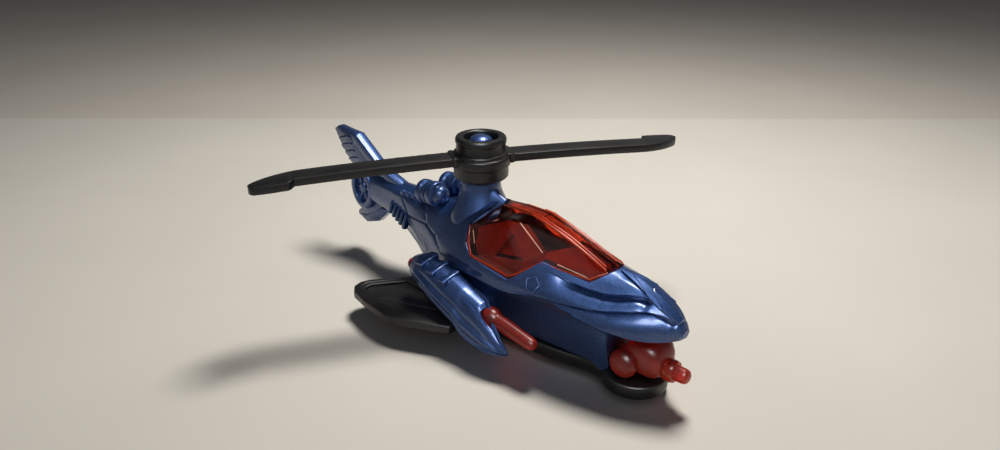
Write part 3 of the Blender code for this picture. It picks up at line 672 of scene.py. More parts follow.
def panel_depth(points):
    """Depth of the scored lines at points on the side of the body."""
    found = np.zeros(len(points))
    flat = points[:, [0, 2]]
    for line in SCORED:
        for a, b in zip(line, line[1:]):
            a, b = np.array(a, float), np.array(b, float)
            share = np.clip((flat - a) @ (b - a) / ((b - a) @ (b - a)), 0, 1)
            away = np.linalg.norm(flat - a - share[:, None] * (b - a), axis=1)
            edge = 1 - ease(SCORE_WIDTH * 0.3, SCORE_WIDTH, away)
            found = np.maximum(found, SCORE_DEPTH * edge)
    return found


def skin_row(x, sizes):
    """Points of the body's skin at x, from the starboard keel over the spine to port."""
    half = [along(line, x) for line in LINES]
    port = [np.array((x, width, height)) for width, height in half]
    starboard = [p * (1, -1, 1) for p in port[:0:-1]]
    rounding = LINE_ROUNDING[:0:-1] + LINE_ROUNDING
    places, steps = side_places(x)
    middle = len(LINES) - 1
    points = rounded_path(starboard + port, rounding, middle + places)
    slope = np.gradient(points, axis=0)
    outward = np.stack([np.zeros(len(points)), -slope[:, 2], slope[:, 1]], axis=1)
    outward[0] = (0, 0, 1)
    outward /= np.maximum(np.linalg.norm(outward, axis=1), 1e-9)[:, None]
    run = np.concatenate([[0], np.cumsum(np.linalg.norm(np.diff(points, axis=0), axis=1))])
    depth = sizes.step_depth / MM * (
        step_depth(x, run - run[steps[0]], 20.5, 25.0, 35.2, 36.4)
        + 0.9 * step_depth(x, run - run[steps[1]], 14.0, 23.0, 38.8, 40.2))
    depth = np.maximum(depth, panel_depth(points))
    # A shallow bed for the strip down the middle of the nose
    depth += 0.1 * ease(29.5, 31.0, x) * (1 - ease(39.0, 40.6, x)) * (1 - ease(0.9, 1.0, places))
    points = points - outward * depth[:, None]
    return np.concatenate([points[:0:-1] * (1, -1, 1), points])


def scaled_ring(x, wall, floor):
    """Cross-section at x drawn in by about a wall, with the keel carried down to a floor."""
    half = [along(line, x) for line in LINES]
    widest = max(width for width, height in half)
    middle = (half[0][1] + half[-1][1]) / 2
    tall = half[0][1] - middle
    across, upward = 1 - wall / widest, 1 - wall / tall
    port = [(x, w * across, middle + (h - middle) * upward) for w, h in half]
    port[-1] = (x, port[-1][1], floor)
    return [(px, -py, pz) for px, py, pz in port[:0:-1]] + port


def build_fuselage(context):
    """Cast body shell: hollowed from below, the canopy's opening cut, and the wings' notch."""
    sizes = context.scene.toy_body
    stations = np.concatenate([np.arange(-30, -20, 0.6), np.arange(-20, 12, 0.3),
                               np.arange(12, 39, 0.26), np.arange(39, 41.01, 0.125)])
    shell = loft("fuselage_casting", [skin_row(x, sizes) for x in stations])
    hollow = loft("hollow", [scaled_ring(x, sizes.wall / MM, 0.0) for x in HOLLOW_STATIONS])
    cut(shell, hollow, slab("aperture", CANOPY_SIDE, -12, 12, "Y"), block("notch", *WING_ROOM))
    finish(shell, look_named("Metallic blue"), "airframe", "enamelled_metal", "body_casting")


def roof_height(x, y):
    """Height of the body's upper skin at x and y, between its upper feature lines."""
    rows = [along(line, x) for line in LINES[:4]]
    return table([(abs(width), height) for width, height in rows], abs(y))


def build_nose_strip(context):
    """Flat strip down the middle of the nose, crossed by two fine raised chevrons."""
    start, end = STRIP_WIDTHS[0][0], STRIP_WIDTHS[-1][0]
    rings = []
    for k in range(34):
        x = start + (end - start) * k / 33
        wide = table(STRIP_WIDTHS, x)
        across = [wide * n / 6 for n in range(-6, 7)]
        top = [(x, y, roof_height(x, y) + STRIP_RISE) for y in across]
        rings.append(top + [(x, y, z - STRIP_DEPTH) for x, y, z in reversed(top)])
    parts = [loft("nose_strip", rings)]
    for front, rear in ((34.8, 31.6), (37.9, 35.2)):
        run = []
        for k in range(-8, 9):
            x = rear + (front - rear) * (abs(k) / 8) ** 1.5
            y = CHEVRON_HALF * k / 8 * min(1.0, table(STRIP_WIDTHS, x) / CHEVRON_HALF)
            run.append(Vector((x, y, roof_height(x, y) + STRIP_RISE + 0.01)))
        parts.append(rod("chevron", run, CHEVRON_RADIUS, 6, 1.0))
    finish(merge("nose_strip", *parts), look_named("Metallic blue"), "airframe",
           "enamelled_metal", smooth=30)


def build_tail(context):
    """Fin, duct and lower fin, each with the ridges that catch the light, and the boom's ribs."""
    enamel = look_named("Metallic blue")
    lead = [(-20.5, 18.2), (-24.5, 19.2), (-28.8, 21.2), (-34.6, 25.1), (-40.9, 25.5),
            (-42.3, 24.6)]
    steps = [(-41.2, 22.9), (-40.3, 21.6), (-40.6, 21.2), (-39.2, 20.5), (-39.5, 20.1),
             (-37.9, 19.3), (-38.1, 18.9), (-36.6, 18.2)]
    outline = lead + steps + [(-35.0, 15.0), (-24.0, 14.0)]
    fin = slab("fin", outline, -0.75, 0.75, "Y")
    bevel(fin, 0.18, 2)
    spar = slab("spar", [(-20.5, 18.0), (-24.5, 19.15), (-28.8, 21.15), (-34.6, 25.05),
                         (-36.4, 25.1), (-35.6, 23.0), (-29.4, 19.3), (-24.0, 17.0)],
                -1.2, 1.2, "Y")
    bevel(spar, 0.45, 3)
    feathers = []
    for side in SIDES:
        feather = rod("feather", [Vector(p) for p in ((3.4, 0.0, 0.9), (1.6, 0.05, 0.35),
                                                      (0.1, 0.0, -0.1))], 0.34, 8)
        feather = row(feather, enamel, 4, (0.95, 0.0, -1.25), 0.8)
        feathers.append(moved(feather, Matrix.Translation((-40.9, side * 0.78, 23.0))))
    fin = merge("tail_fin", fin, spar, *feathers)
    finish(fin, enamel, "airframe", "enamelled_metal")

    ring = [(0.0, -1.1), (2.6, -1.1), (2.6, -1.9), (2.9, -2.1), (3.7, -2.1), (4.0, -1.75),
            (4.0, 1.75), (3.7, 2.1), (2.9, 2.1), (2.6, 1.9), (2.6, 1.1), (0.0, 1.1)]
    lying = placed(DUCT_CENTRE[0], 0, DUCT_CENTRE[1], 90) @ Matrix.Diagonal((0.85, 1.12, 1, 1))
    duct = turned("tail_duct", softened(ring, 0.2), enamel, 64, lying)
    disc = [(0.0, -1.85), (0.75, -1.8), (1.15, -1.5), (1.2, -1.0), (1.2, 1.0), (1.15, 1.5),
            (0.75, 1.8), (0.0, 1.85)]
    disc = turned("disc", softened(disc, 0.1), enamel, 32, lying)
    vane = [(0.9, -0.16), (2.9, -0.22), (2.9, 0.22), (0.9, 0.16)]
    vanes = [moved(slab("vane", vane, -1.45, 1.45), placed(0, 0, 0, 60 * k, "Z"))
             for k in range(6)]
    vanes = moved(merge("vanes", *vanes), lying)
    duct = merge("tail_duct", duct, disc, vanes)
    finish(duct, enamel, "airframe", "enamelled_metal")

    foot = slab("foot", [(-36.0, 8.4), (-36.2, 7.6), (-33.2, 6.5), (-29.2, 7.9), (-25.3, 11.4),
                         (-26.0, 14.0), (-29.5, 13.0), (-33.0, 11.0)], -0.9, 0.9, "Y")
    bevel(foot, 0.35, 3)
    keel = slab("keel", [(-35.8, 7.8), (-33.2, 6.9), (-29.5, 8.3), (-26.2, 11.2), (-27.4, 11.8),
                         (-30.4, 9.6), (-33.2, 8.3)], -1.2, 1.2, "Y")
    bevel(keel, 0.4, 2)
    finish(merge("lower_fin", foot, keel), enamel, "airframe", "enamelled_metal")

    ribs = []
    for side in SIDES:
        rib = slab("rib", [(-0.5, -1.6), (0.2, -1.75), (0.55, 0.7), (-0.15, 1.1)], -0.5, 0.5, "Y")
        bevel(rib, 0.3, 2)
        rib = row(rib, enamel, 5, (1.35, side * 0.17, -0.28), 1.2)
        ribs.append(moved(rib, placed(-21.6, side * 2.75, 14.35, 16 * side)))
        bump = slab("bump", arc((0, 0), (0.62, 0.5), 0, 330, 11), -0.55, 0.45)
        bevel(bump, 0.3, 2)
        bump = row(bump, enamel, 3, (1.7, side * 0.1, 0.12), 0.85)
        ribs.append(moved(bump, Matrix.Translation((-18.6, side * 2.3, 17.7))))
    finish(merge("boom_ribs", *ribs), enamel, "airframe", "enamelled_metal")


def build_drums(context):
    """Stepped exhaust drums behind the mast, domed in front."""
    enamel = look_named("Metallic blue")
    profile = [(0.0, 0.1), (1.2, 0.0), (1.6, 0.1), (2.2, 0.5), (2.2, 1.4), (1.85, 1.65),
               (1.85, 1.95), (2.15, 2.15), (2.15, 2.6), (1.75, 2.75), (1.75, 3.05), (2.25, 3.2),
               (2.3, 4.1), (2.15, 4.55), (1.65, 4.7), (1.7, 4.95), (1.55, 5.6), (1.1, 6.1),
               (0.5, 6.35), (0.0, 6.4)]
    drums = []
    for side in SIDES:
        place = pointing((-12.4, side * DRUM_SIDE, 20.0), (-6.0, side * DRUM_SIDE, 20.6))
        drums.append(turned("drum", softened(profile, 0.12), enamel, 56, place))
    finish(merge("exhaust_drums", *drums), enamel, "airframe", "enamelled_metal")


def build_mast(context):
    """Boss that flares out of the roof, and the domed rivet head that holds the rotor."""
    enamel = look_named("Metallic blue")
    profile = [(0.0, 17.0), (5.6, 18.0), (4.9, 19.6), (4.25, 21.2), (3.75, 22.4), (3.42, 23.4),
               (3.3, 24.6), (3.15, 24.98), (1.3, 25.0), (1.25, 30.7), (2.05, 30.75), (2.15, 30.95),
               (2.05, 31.5), (1.65, 32.05), (1.0, 32.38), (0.4, 32.47), (0.0, 32.48)]
    mast = turned("mast_post", softened(profile, 0.15), enamel, 72)
    runs = [[(-9.0, 1.2, 18.7), (-6.0, 1.9, 19.8), (-3.9, 2.3, 21.2), (-2.6, 2.2, 22.6),
             (0.0, 2.0, 23.2)],
            [(0.0, 2.9, 24.7), (2.4, 2.6, 24.4), (3.6, 2.3, 23.8), (4.6, 1.9, 23.2),
             (5.9, 1.4, 22.7)]]
    foot = 17.5
    fairings = []
    for run in runs:
        rings = [[(x, y, z) for y, z in arc((0, foot), (wide, top - foot), 0, 180, 16)]
                 for x, wide, top in run]
        fairings.append(loft("fairing", rings))
    finish(merge("mast_post", mast, *fairings), enamel, "airframe", "enamelled_metal", smooth=35)


# ---------------------------------------------------------------- pods and guns
def pod_ring(x):
    """Cross-section of a pod: flat inner face, crowned top, and a hollowed outer wall."""
    inner, outer, low, high = table(POD_SECTIONS, x)
    wide, tall = outer - inner, high - low
    corners = [(inner, 0.45), (inner, 0.88), (inner + 0.28 * wide, 1.0), (inner + 0.6 * wide, 0.97),
               (outer - 0.16 * wide, 0.7), (outer - 0.06 * wide, 0.55), (outer, 0.42),
               (outer - 0.05 * wide, 0.14), (outer - 0.4 * wide, 0.0), (inner + 0.2 * wide, 0.14)]
    points = [np.array((x, y, low + share * tall)) for y, share in corners]
    ring = rounded_path([points[-1]] + points + [points[0]], [0.3] * (len(points) + 2),
                        np.arange(1, len(points) + 1, 0.25))
    # Two long hollows along the outer wall
    wall = ease(0.7, 0.95, (ring[:, 1] - inner) / wide)
    share = (ring[:, 2] - low) / tall
    for level in (0.3, 0.6):
        ring[:, 1] -= 0.3 * wall * np.exp(-(((share - level) / 0.07) ** 2)) * ease(-4, 0, x)
    return ring


def gun_axis(side, start, end):
    """Matrix that stands local Z along a gun's rod, from one x to another."""
    ends = []
    for x in (start, end):
        share = (x - GUN_REAR[0]) / (GUN_FRONT[0] - GUN_REAR[0])
        ends.append((x, side * GUN_SIDE, GUN_REAR[1] + share * (GUN_FRONT[1] - GUN_REAR[1])))
    return pointing(*ends)


def swept_blade(name, spine, wide, tall):
    """Thin ridge with a crest, run along spine points, tapered at both ends."""
    rings = []
    last = len(spine) - 1
    for k, point in enumerate(spine):
        taper = max(0.12, math.sin(math.pi * (0.12 + 0.8 * k / last)))
        w, t = wide * taper, tall * taper
        x, y, z = point
        rings.append([(x, y - w, z - t), (x + 0.15, y - 0.25 * w, z + 0.8 * t), (x + 0.2, y, z + t),
                      (x + 0.15, y + 0.25 * w, z + 0.8 * t), (x, y + w, z - t)])
    return loft(name, rings)


def build_pods(context):
    """Gun pods: a nacelle with two ridges, three louvre slats, and the web to the body."""
    enamel = look_named("Metallic blue")
    for side, flank in zip(SIDES, ("starboard", "port")):
        stations = np.concatenate([np.arange(-5.2, 18.4, 0.19), [18.4]])
        pod = loft("pod", [pod_ring(x) * (1, side, 1) for x in stations])
        mouth = slab("mouth", arc((0, 0), (GUN_MOUTH, GUN_MOUTH), 0, 345, 23), 0, 12)
        cut(pod, moved(mouth, gun_axis(side, 12.0, 22.0)))
        crests = [[(8.6, 9.9, 11.0), (10.4, 10.0, 10.6), (11.9, 10.3, 10.1), (13.2, 11.0, 9.1),
                   (14.6, 11.7, 7.75), (16.2, 12.2, 6.35), (17.4, 12.45, 5.4), (18.2, 12.55, 4.85)],
                  [(8.2, 12.5, 10.1), (10.0, 12.7, 9.6), (11.8, 12.9, 9.0), (13.4, 13.0, 8.0),
                   (15.0, 13.0, 6.8), (16.6, 12.95, 5.7), (17.6, 12.8, 5.1), (18.2, 12.65, 4.8)]]
        ridges = [swept_blade("ridge", [(x, side * y, z) for x, y, z in crest], 0.5, 0.45)
                  for crest in crests]
        web = [(-3.0, 4.6), (-3.0, 9.4), (10.0, 9.4), (10.0, 4.6)]
        bridge = slab("bridge", flipped(side, web), 5.8, 9.4)
        bevel(bridge, 0.4, 2)
        slat = slab("slat", [(-1.05, -0.5), (0.9, -0.5), (0.9, 0.55), (0.5, 0.62), (-1.05, 0.1)],
                    -1.9, 1.9, "Y")
        bevel(slat, 0.16, 2)
        slats = row(slat, enamel, 3, (2.9, side * 0.3, -0.04), 0.96)
        moved(slats, placed(-2.0, side * 10.75, 12.75, -12 * side) @ placed(0, 0, 0, 8, "Y"))
        whole = merge("gun_pod_" + flank, pod, bridge, slats, *ridges)
        finish(whole, enamel, "airframe", "enamelled_metal")


def build_guns(context):
    """Clear rods through the pods: a rear tip, a belled collar at the mouth and a fat barrel."""
    red = look_named("Clear red polystyrene, thick")
    profile = [(0.0, -0.02), (0.5, 0.0), (0.85, 0.15), (1.05, 0.5), (1.05, 18.6), (1.3, 18.9),
               (1.55, 19.3), (1.6, 20.2), (1.45, 20.8), (1.2, 21.3), (1.22, 22.6), (1.15, 25.2),
               (1.0, 28.2), (0.85, 28.9), (0.5, 29.2), (0.0, 29.25)]
    for side, flank in zip(SIDES, ("starboard", "port")):
        place = gun_axis(side, GUN_REAR[0] - 0.6, GUN_FRONT[0])
        gun = turned("clear_gun_" + flank, softened(profile, 0.15), red, 40, place)
        finish(gun, red, "airframe", "clear_red", "pod_gun_" + flank, smooth=40)


def build_turret(context):
    """Turret under the nose: a cross drum with domed ends, mantlet, collar and stub barrel."""
    red = look_named("Clear red polystyrene, thick")
    x, z = TURRET_CENTRE
    tip = (TURRET_TIP[0], 0, TURRET_TIP[1])
    drum = [(0.0, -4.9), (0.8, -4.84), (1.6, -4.5), (2.1, -3.9), (2.28, -3.1), (2.1, -2.2),
            (2.1, 2.2), (2.28, 3.1), (2.1, 3.9), (1.6, 4.5), (0.8, 4.84), (0.0, 4.9)]
    lying = placed(x, 0, z, 90)
    parts = [turned("drum", softened(drum, 0.2), red, 48, lying)]
    sections = [(32.6, 2.2, 5.4, 8.6), (33.4, 2.9, 4.5, 9.6), (35.0, 3.15, 4.2, 9.9),
                (36.8, 3.1, 4.2, 9.8), (37.8, 2.8, 4.4, 9.3), (38.4, 2.3, 4.9, 8.5),
                (38.7, 1.5, 5.4, 7.6)]
    rings = []
    for place, wide, low, high in sections:
        tall, middle = (high - low) / 2, (high + low) / 2
        ring = []
        for k in range(40):
            c, n = math.cos(math.pi * k / 20), math.sin(math.pi * k / 20)
            # A squared-off oval
            ring.append((place, wide * math.copysign(abs(c) ** 0.62, c),
                         middle + tall * math.copysign(abs(n) ** 0.62, n)))
        rings.append(ring)
    parts.append(loft("mantlet", rings))
    barrel = [(0.0, -1.5), (1.3, -1.5), (1.5, -0.5), (1.55, 1.2), (1.4, 1.5), (1.2, 1.7),
              (1.15, 3.9), (1.0, 4.35), (0.6, 4.58), (0.0, 4.6)]
    parts.append(turned("barrel", softened(barrel, 0.12), red, 40,
                        pointing((37.7, 0, 5.8), tip)))
    finish(merge("chin_turret_clear", *parts), red, "airframe", "clear_red", "chin_turret",
           smooth=40)
    # The collar's bright orange is the same painted glow as the canopy's rim
    collar = [(1.4, 0.0), (1.62, 0.1), (1.72, 0.5), (1.72, 1.3), (1.6, 1.75), (1.4, 1.85)]
    bright = look_named("Clear red polystyrene, edge")
    collar = turned("turret_collar", softened(collar, 0.1), bright, 48,
                    pointing((38.4, 0, 5.83), tip))
    finish(collar, bright, "airframe", "clear_red", smooth=40)


# ---------------------------------------------------------------- canopy and cockpit
def canopy_facets():
    """Corners and facets of one side of the canopy, starboard half widths positive."""
    corners = {
        "rear": (6.2, 1.1, 22.45), "top_rear": (9.6, 1.1, 22.75), "top": (14.8, 1.1, 22.8),
        "top_front": (21.0, 1.1, 21.2), "jog": (23.0, 1.15, 20.5), "brow": (27.6, 1.2, 18.85),
        "rear_mid": (2.8, 5.3, 18.9), "rear_low": (3.7, 6.6, 16.6), "low": (5.8, 8.0, 15.3),
        "low_front": (14.0, 7.9, 14.6), "step": (15.2, 7.6, 15.2), "notch": (18.7, 5.6, 17.7),
        "sill": (26.7, 3.9, 17.4), "nose": (28.4, 1.9, 18.4), "crease_top": (12.4, 3.4, 21.6),
        "crease_low": (18.3, 4.8, 19.1), "apex": (10.9, 5.1, 20.1), "tri_rear": (9.0, 7.5, 16.6),
        "tri_front": (14.9, 6.7, 17.3), "shoulder": (8.0, 4.2, 21.2)}
    faces = ["rear top_rear shoulder", "rear shoulder rear_mid", "top_rear top crease_top",
             "top_rear crease_top shoulder", "shoulder crease_top apex", "rear_mid shoulder apex",
             "rear_mid apex tri_rear rear_low", "rear_low tri_rear low", "apex tri_front tri_rear",
             "tri_rear tri_front low_front low", "crease_top tri_front apex",
             "tri_front step low_front", "crease_top crease_low tri_front",
             "tri_front crease_low notch step", "top crease_low crease_top",
             "top top_front crease_low", "top_front jog crease_low", "jog sill notch crease_low",
             "jog brow nose sill"]
    return corners, [face.split() for face in faces]


def build_canopy(context):
    """Clear faceted canopy, bars along its edges in a painted orange glow, and three raised creases
    a side tinted pale as a painted glint.
    """
    sizes = context.scene.toy_canopy
    corners, faces = canopy_facets()
    names = list(corners)
    verts, polygons = [], []
    for side in SIDES:
        start = len(verts)
        verts += [(x, side * y, z) for x, y, z in corners.values()]
        polygons += [[start + names.index(n) for n in face] for face in faces]
    half = len(names)
    strip = ["rear", "top_rear", "top", "top_front", "jog", "brow", "nose"]
    for a, b in zip(strip, strip[1:]):
        i, j = names.index(a), names.index(b)
        polygons.append([i, j, j + half, i + half])
    glass = piece("canopy_clear", verts, polygons)
    wall = glass.modifiers.new("wall", "SOLIDIFY")
    wall.thickness = sizes.wall
    wall.offset = -1.0
    settle(glass)
    bevel(glass, 0.16, 3, 6)
    look = look_named("Clear red polystyrene, thin")
    finish(glass, look, "airframe", "clear_red", "canopy_window", smooth=24)

    # The rim bars' bright orange is a painted glow, standing for light piped along the canopy's
    # edges
    painted_glow_look = look_named("Clear red polystyrene, edge")
    bars = []
    runs = [["rear_mid", "rear_low", "low", "low_front", "step", "notch", "sill", "nose"],
            ["top_rear", "top", "top_front", "jog", "brow"]]
    for side in SIDES:
        for run, reach in zip(runs, (0.2, 0.17)):
            points = [Vector((corners[n][0], side * corners[n][1], corners[n][2])) for n in run]
            bars.append(rod("bar", points, reach, 8))
    for side in SIDES:
        line = [(13.2, 1.5, 22.75), (15.0, 1.55, 22.55), (21.0, 1.6, 21.0), (23.2, 1.6, 20.2),
                (27.9, 1.65, 18.55)]
        bars.append(rod("bar", [Vector((x, side * y, z)) for x, y, z in line], 0.24, 8))
    rim = merge("canopy_rim", *bars)
    finish(rim, painted_glow_look, "airframe", "clear_red", smooth=60)
    # The crease ridges are tinted pale as a painted glint, standing for light caught along them
    creases = [[(12.3, 3.42, 21.7), (18.3, 4.85, 19.15)], [(4.1, 5.85, 18.6), (5.6, 7.0, 17.1)],
               [(21.3, 4.85, 18.25), (26.3, 4.0, 17.6)]]
    ridges = [rod("crease", [Vector((x, side * y, z)) for x, y, z in line], 0.13, 8)
              for side in SIDES for line in creases]
    finish(merge("canopy_creases", *ridges), look_named("Rubbed polystyrene"), "airframe",
           "clear_red", smooth=60)


def rod(name, points, radius, sides, ends=0.6):
    """Round bar through points, its joints mitred, a little thinner at its two ends."""
    rings = []
    last = len(points) - 1
    for k, point in enumerate(points):
        way = (points[min(k + 1, last)] - points[max(k - 1, 0)]).normalized()
        across = way.cross(Vector((0, 0, 1))).normalized()
        upward = across.cross(way).normalized()
        reach = radius * (ends if k in (0, last) else 1.0)
        rings.append([point + (across * math.cos(a) + upward * math.sin(a)) * reach
                      for a in (2 * math.pi * n / sides for n in range(sides))])
    return loft(name, rings)


def build_liner():
    """Faceted inner sheet a little inside the canopy's lower facets, open along the top, in a dark
    red-brown painted as the shade inside the canopy.
    """
    corners, faces = canopy_facets()
    kept = [f for f in faces if not {"top_rear", "top", "top_front", "rear"} & set(f)]
    names = sorted({n for face in kept for n in face})
    verts, polygons = [], []
    for side in SIDES:
        start = len(verts)
        for n in names:
            x, y, z = corners[n]
            verts.append((15.0 + (x - 15.0) * 0.9, side * (y - 1.5), z - 0.7))
        polygons += [[start + names.index(n) for n in face] for face in kept
                     if face != ["apex", "tri_front", "tri_rear"]]
    liner = piece("cockpit_liner", verts, polygons)
    wall = liner.modifiers.new("wall", "SOLIDIFY")
    wall.thickness = 0.4 * MM
    wall.offset = 0.0
    settle(liner)
    # The sheet's dark red-brown is painted shade for the inside of the canopy
    finish(liner, look_named("Dark red polystyrene"), "airframe", "clear_red", smooth=10)
    # The side panes take the same painted shade as the sheet
    panes = []
    for side in SIDES:
        flat = [Vector(corners[n]) for n in ("apex", "tri_front", "tri_rear")]
        rings = [[(p.x, side * (p.y - inset), p.z - 0.7) for p in flat] for inset in (2.4, 3.0)]
        panes.append(loft("pane", rings))
    finish(merge("cockpit_side_panes", *panes), look_named("Dark red polystyrene"), "airframe",
           "clear_red")


def build_cockpit(context):
    """What shows through the canopy: a tub, a three-sided seat back, cushion and console."""
    build_liner()
    dark = look_named("Black ABS, cockpit")
    floor = slab("floor", mirrored([(6.8, -4.6), (9.0, -6.3), (18.0, -6.1), (23.0, -4.7),
                                    (26.4, -2.9)]), 12.2, 13.2)
    parts = [bevel(floor, 0.2, 2)]
    seat = loft("seat", [[(x, y, z) for y, z in ((-2.7, 13.0), (2.7, 13.0), (0.8, 18.9),
                                                 (-0.8, 18.9))] for x in (8.4, 10.0)])
    parts.append(bevel(seat, 0.35, 3))
    for y in (-1.4, 0.0, 1.4):
        tuft = block("tuft", (9.9, 10.3), (y - 0.5, y + 0.5), (14.4, 17.2 - abs(y)))
        parts.append(bevel(tuft, 0.18, 2))
    cushion = block("cushion", (10.0, 13.6), (-2.2, 2.2), (12.9, 14.5))
    parts.append(bevel(cushion, 0.5, 3))
    console = slab("console", [(19.6, 12.8), (20.4, 15.8), (22.4, 15.4), (23.6, 12.8)],
                   -2.6, 2.6, "Y")
    parts.append(bevel(console, 0.3, 2))
    stick = turned("stick", softened([(0.0, 0.0), (0.5, 0.05), (0.35, 0.4), (0.25, 2.2),
                                      (0.42, 2.5), (0.42, 3.1), (0.0, 3.3)], 0.1), dark, 20,
                   Matrix.Translation((16.2, 0, 13.1)))
    parts.append(stick)
    leg = block("leg", (8.0, 12.2), (-1.9, 1.9), (3.5, 12.6))
    parts.append(bevel(leg, 0.2, 1))
    finish(merge("cockpit_tub", *parts), dark, "airframe", "black_plastic", "cockpit_insert")


# ---------------------------------------------------------------- base, rotor, rollers
def build_base(context):
    """Moulded floor with a round skid, swept stub wings with twin rear rails, and open wells."""
    black = look_named("Black ABS, base")
    flank = [(-13.5, -2.6), (-9.5, -4.6), (8.0, -6.2), (17.7, -5.4), (21.4, -4.8), (26.6, -3.4)]
    skid = arc((SKID_CENTRE, 0), (SKID_RADIUS, SKID_RADIUS), 222, 356, 22)
    base = slab("base", mirrored(flank + skid), BASE_BOTTOM, BASE_TOP)
    bevel(base, 0.35, 3)
    cutters = []
    for _, x in AXLES:
        for side in SIDES:
            across = sorted((side * 2.3, side * WELL_SIDE))
            cutters.append(block("well", (x - 2.6, x + 2.6), across, (0.0, 6.0)))
        cutters.append(block("channel", (x - 0.8, x + 0.8), (-WELL_SIDE, WELL_SIDE), (0.0, 2.9)))
    for x in POSTS:
        cutters.append(slab("sink", arc((x, 0), (2.2, 2.2), 0, 345, 23), 0.0, 2.0))
    for k in range(3):
        cutters.append(block("vent", (2.0 + 3.2 * k, 4.2 + 3.2 * k), (-1.8, 1.8), (0.0, 1.5)))
    cut(base, *cutters)
    parts = [base]
    outline = [(-9.0, 5.0), (-14.9, 13.8), (-15.4, 15.4), (-15.0, 17.0), (-13.4, 18.2),
               (-9.3, 18.9), (-3.2, 19.2), (-0.8, 18.6), (7.1, 14.3), (7.1, 5.0)]
    rear_rail = [(-10.6, 9.0, 5.05), (-14.2, 14.6, 5.05), (-14.1, 16.3, 5.05), (-12.6, 17.3, 5.0)]
    panel = [(-10.4, 9.6), (-13.0, 14.4), (-12.5, 16.4), (-3.6, 17.3), (4.8, 12.9), (4.8, 9.6)]
    for side in SIDES:
        wing = slab("wing", flipped(side, outline), WING_BOTTOM, WING_TOP)
        bevel(wing, 0.35, 3)
        recess = slab("panel", flipped(side, panel), WING_TOP - 0.5, 6.0)
        bevel(recess, 0.12, 1)
        cut(wing, recess)
        root = slab("root", flipped(side, [(-9.5, 3.9), (-9.5, 8.2), (7.0, 8.2), (7.0, 3.9)]),
                    2.0, 5.1)
        bevel(root, 0.2, 2)
        rails = []
        for shift in (0.0, 1.0):
            line = [Vector((x + shift, side * y, z)) for x, y, z in rear_rail]
            rails.append(rod("rail", line, 0.26, 10))
        line = [Vector((4.2, side * 10.0, 4.72)), Vector((-8.4, side * 16.2, 4.72))]
        rails.append(rod("score", line, 0.16, 8, 1.0))
        parts += [wing, root] + rails
    finish(merge("base_and_wings", *parts), black, "airframe", "black_plastic", "base_plate")

    enamel = look_named("Metallic blue")
    heads = []
    for x in POSTS:
        head = [(0.0, 1.12), (0.9, 1.15), (1.5, 1.28), (1.85, 1.5), (1.9, 1.75), (1.25, 1.85),
                (1.2, 4.6), (0.0, 4.7)]
        heads.append(turned("head", softened(head, 0.08), enamel, 40, placed(x, 0, 0)))
    finish(merge("peened_posts", *heads), enamel, "airframe", "enamelled_metal")


def blade_edges(s, sizes):
    """Trailing and leading edge of a blade at a distance s from the mast, in millimetres."""
    half = sizes.blade_width / MM / 2
    lead = table([(0, 0.0), (30.2, 0.0), (30.5, 0.75), (31.0, 1.4), (33.0, 1.52), (35.0, 1.5),
                  (36.2, 1.35), (36.6, 1.1), (36.9, 0.65), (37.0, 0.25)], s)
    trail = table([(0, 2.0), (27.5, 2.0), (29.5, 1.95), (31.0, 1.7), (32.5, 1.25), (34.0, 0.6),
                   (35.2, -0.1), (36.2, -0.85), (36.7, -1.35), (37.0, -1.95)], s)
    return -trail * half / 2, half + lead


def build_rotor(context):
    """Two drooping blades with stepped tips, on a stepped hub cupped for the mast's head."""
    sizes = context.scene.toy_rotor
    black = look_named("Black ABS, rotor")
    radius = sizes.radius / MM
    stations = [4.0, 5.0, 6.2, *np.arange(8, 29.5, 1.5), *np.arange(29.6, 37.0, 0.2), radius]
    parts = []
    for turn in (sizes.rest_angle, sizes.rest_angle + math.pi):
        rings = []
        for s in stations:
            trail, lead = blade_edges(s, sizes)
            top = BLADE_TOP - sizes.droop / MM * (s / radius) ** 2
            bottom = top - sizes.thickness / MM
            soft, nick = BLADE_SOFT, BLADE_NICK
            ring = [(trail + soft, bottom), (lead - soft, bottom), (lead - nick, bottom + nick),
                    (lead, bottom + soft), (lead, top - soft), (lead - nick, top - nick),
                    (lead - soft, top), (trail + soft, top), (trail + nick, top - nick),
                    (trail, top - soft), (trail, bottom + soft), (trail + nick, bottom + nick)]
            rings.append([(s, y, z) for y, z in ring])
        spin = Matrix.Rotation(turn, 4, "Z")
        parts.append(moved(loft("blade", rings), spin))
        root = block("root", (3.6, 5.3), (-2.2, 2.2), (27.85, 29.6))
        parts.append(moved(bevel(root, 0.3, 2), spin))
        for side in SIDES:
            knob = [(0.0, 0.0), (0.5, 0.0), (0.55, 0.1), (0.55, 0.6), (0.4, 0.75), (0.0, 0.8)]
            knob = turned("knob", knob, black, 20, Matrix.Translation((4.7, side * 1.75, 28.85)))
            parts.append(moved(knob, spin))
    hub = [(1.6, 25.3), (4.2, 25.3), (4.6, 25.7), (4.6, 27.45), (4.75, 27.6), (4.95, 27.7),
           (4.95, 29.0), (4.8, 29.2), (4.6, 29.3), (4.6, 29.65), (4.35, 29.9), (4.1, 29.95),
           (4.1, 31.3), (4.25, 31.45), (4.25, 31.95), (4.05, 32.35), (3.1, 32.4), (2.85, 32.2),
           (2.8, 30.4), (1.6, 30.4), (1.6, 25.3)]
    parts.append(turned("hub", softened(hub, 0.12), black, 80))
    finish(merge("rotor_with_hub", *parts), black, "rotor", "black_plastic", "rotor")


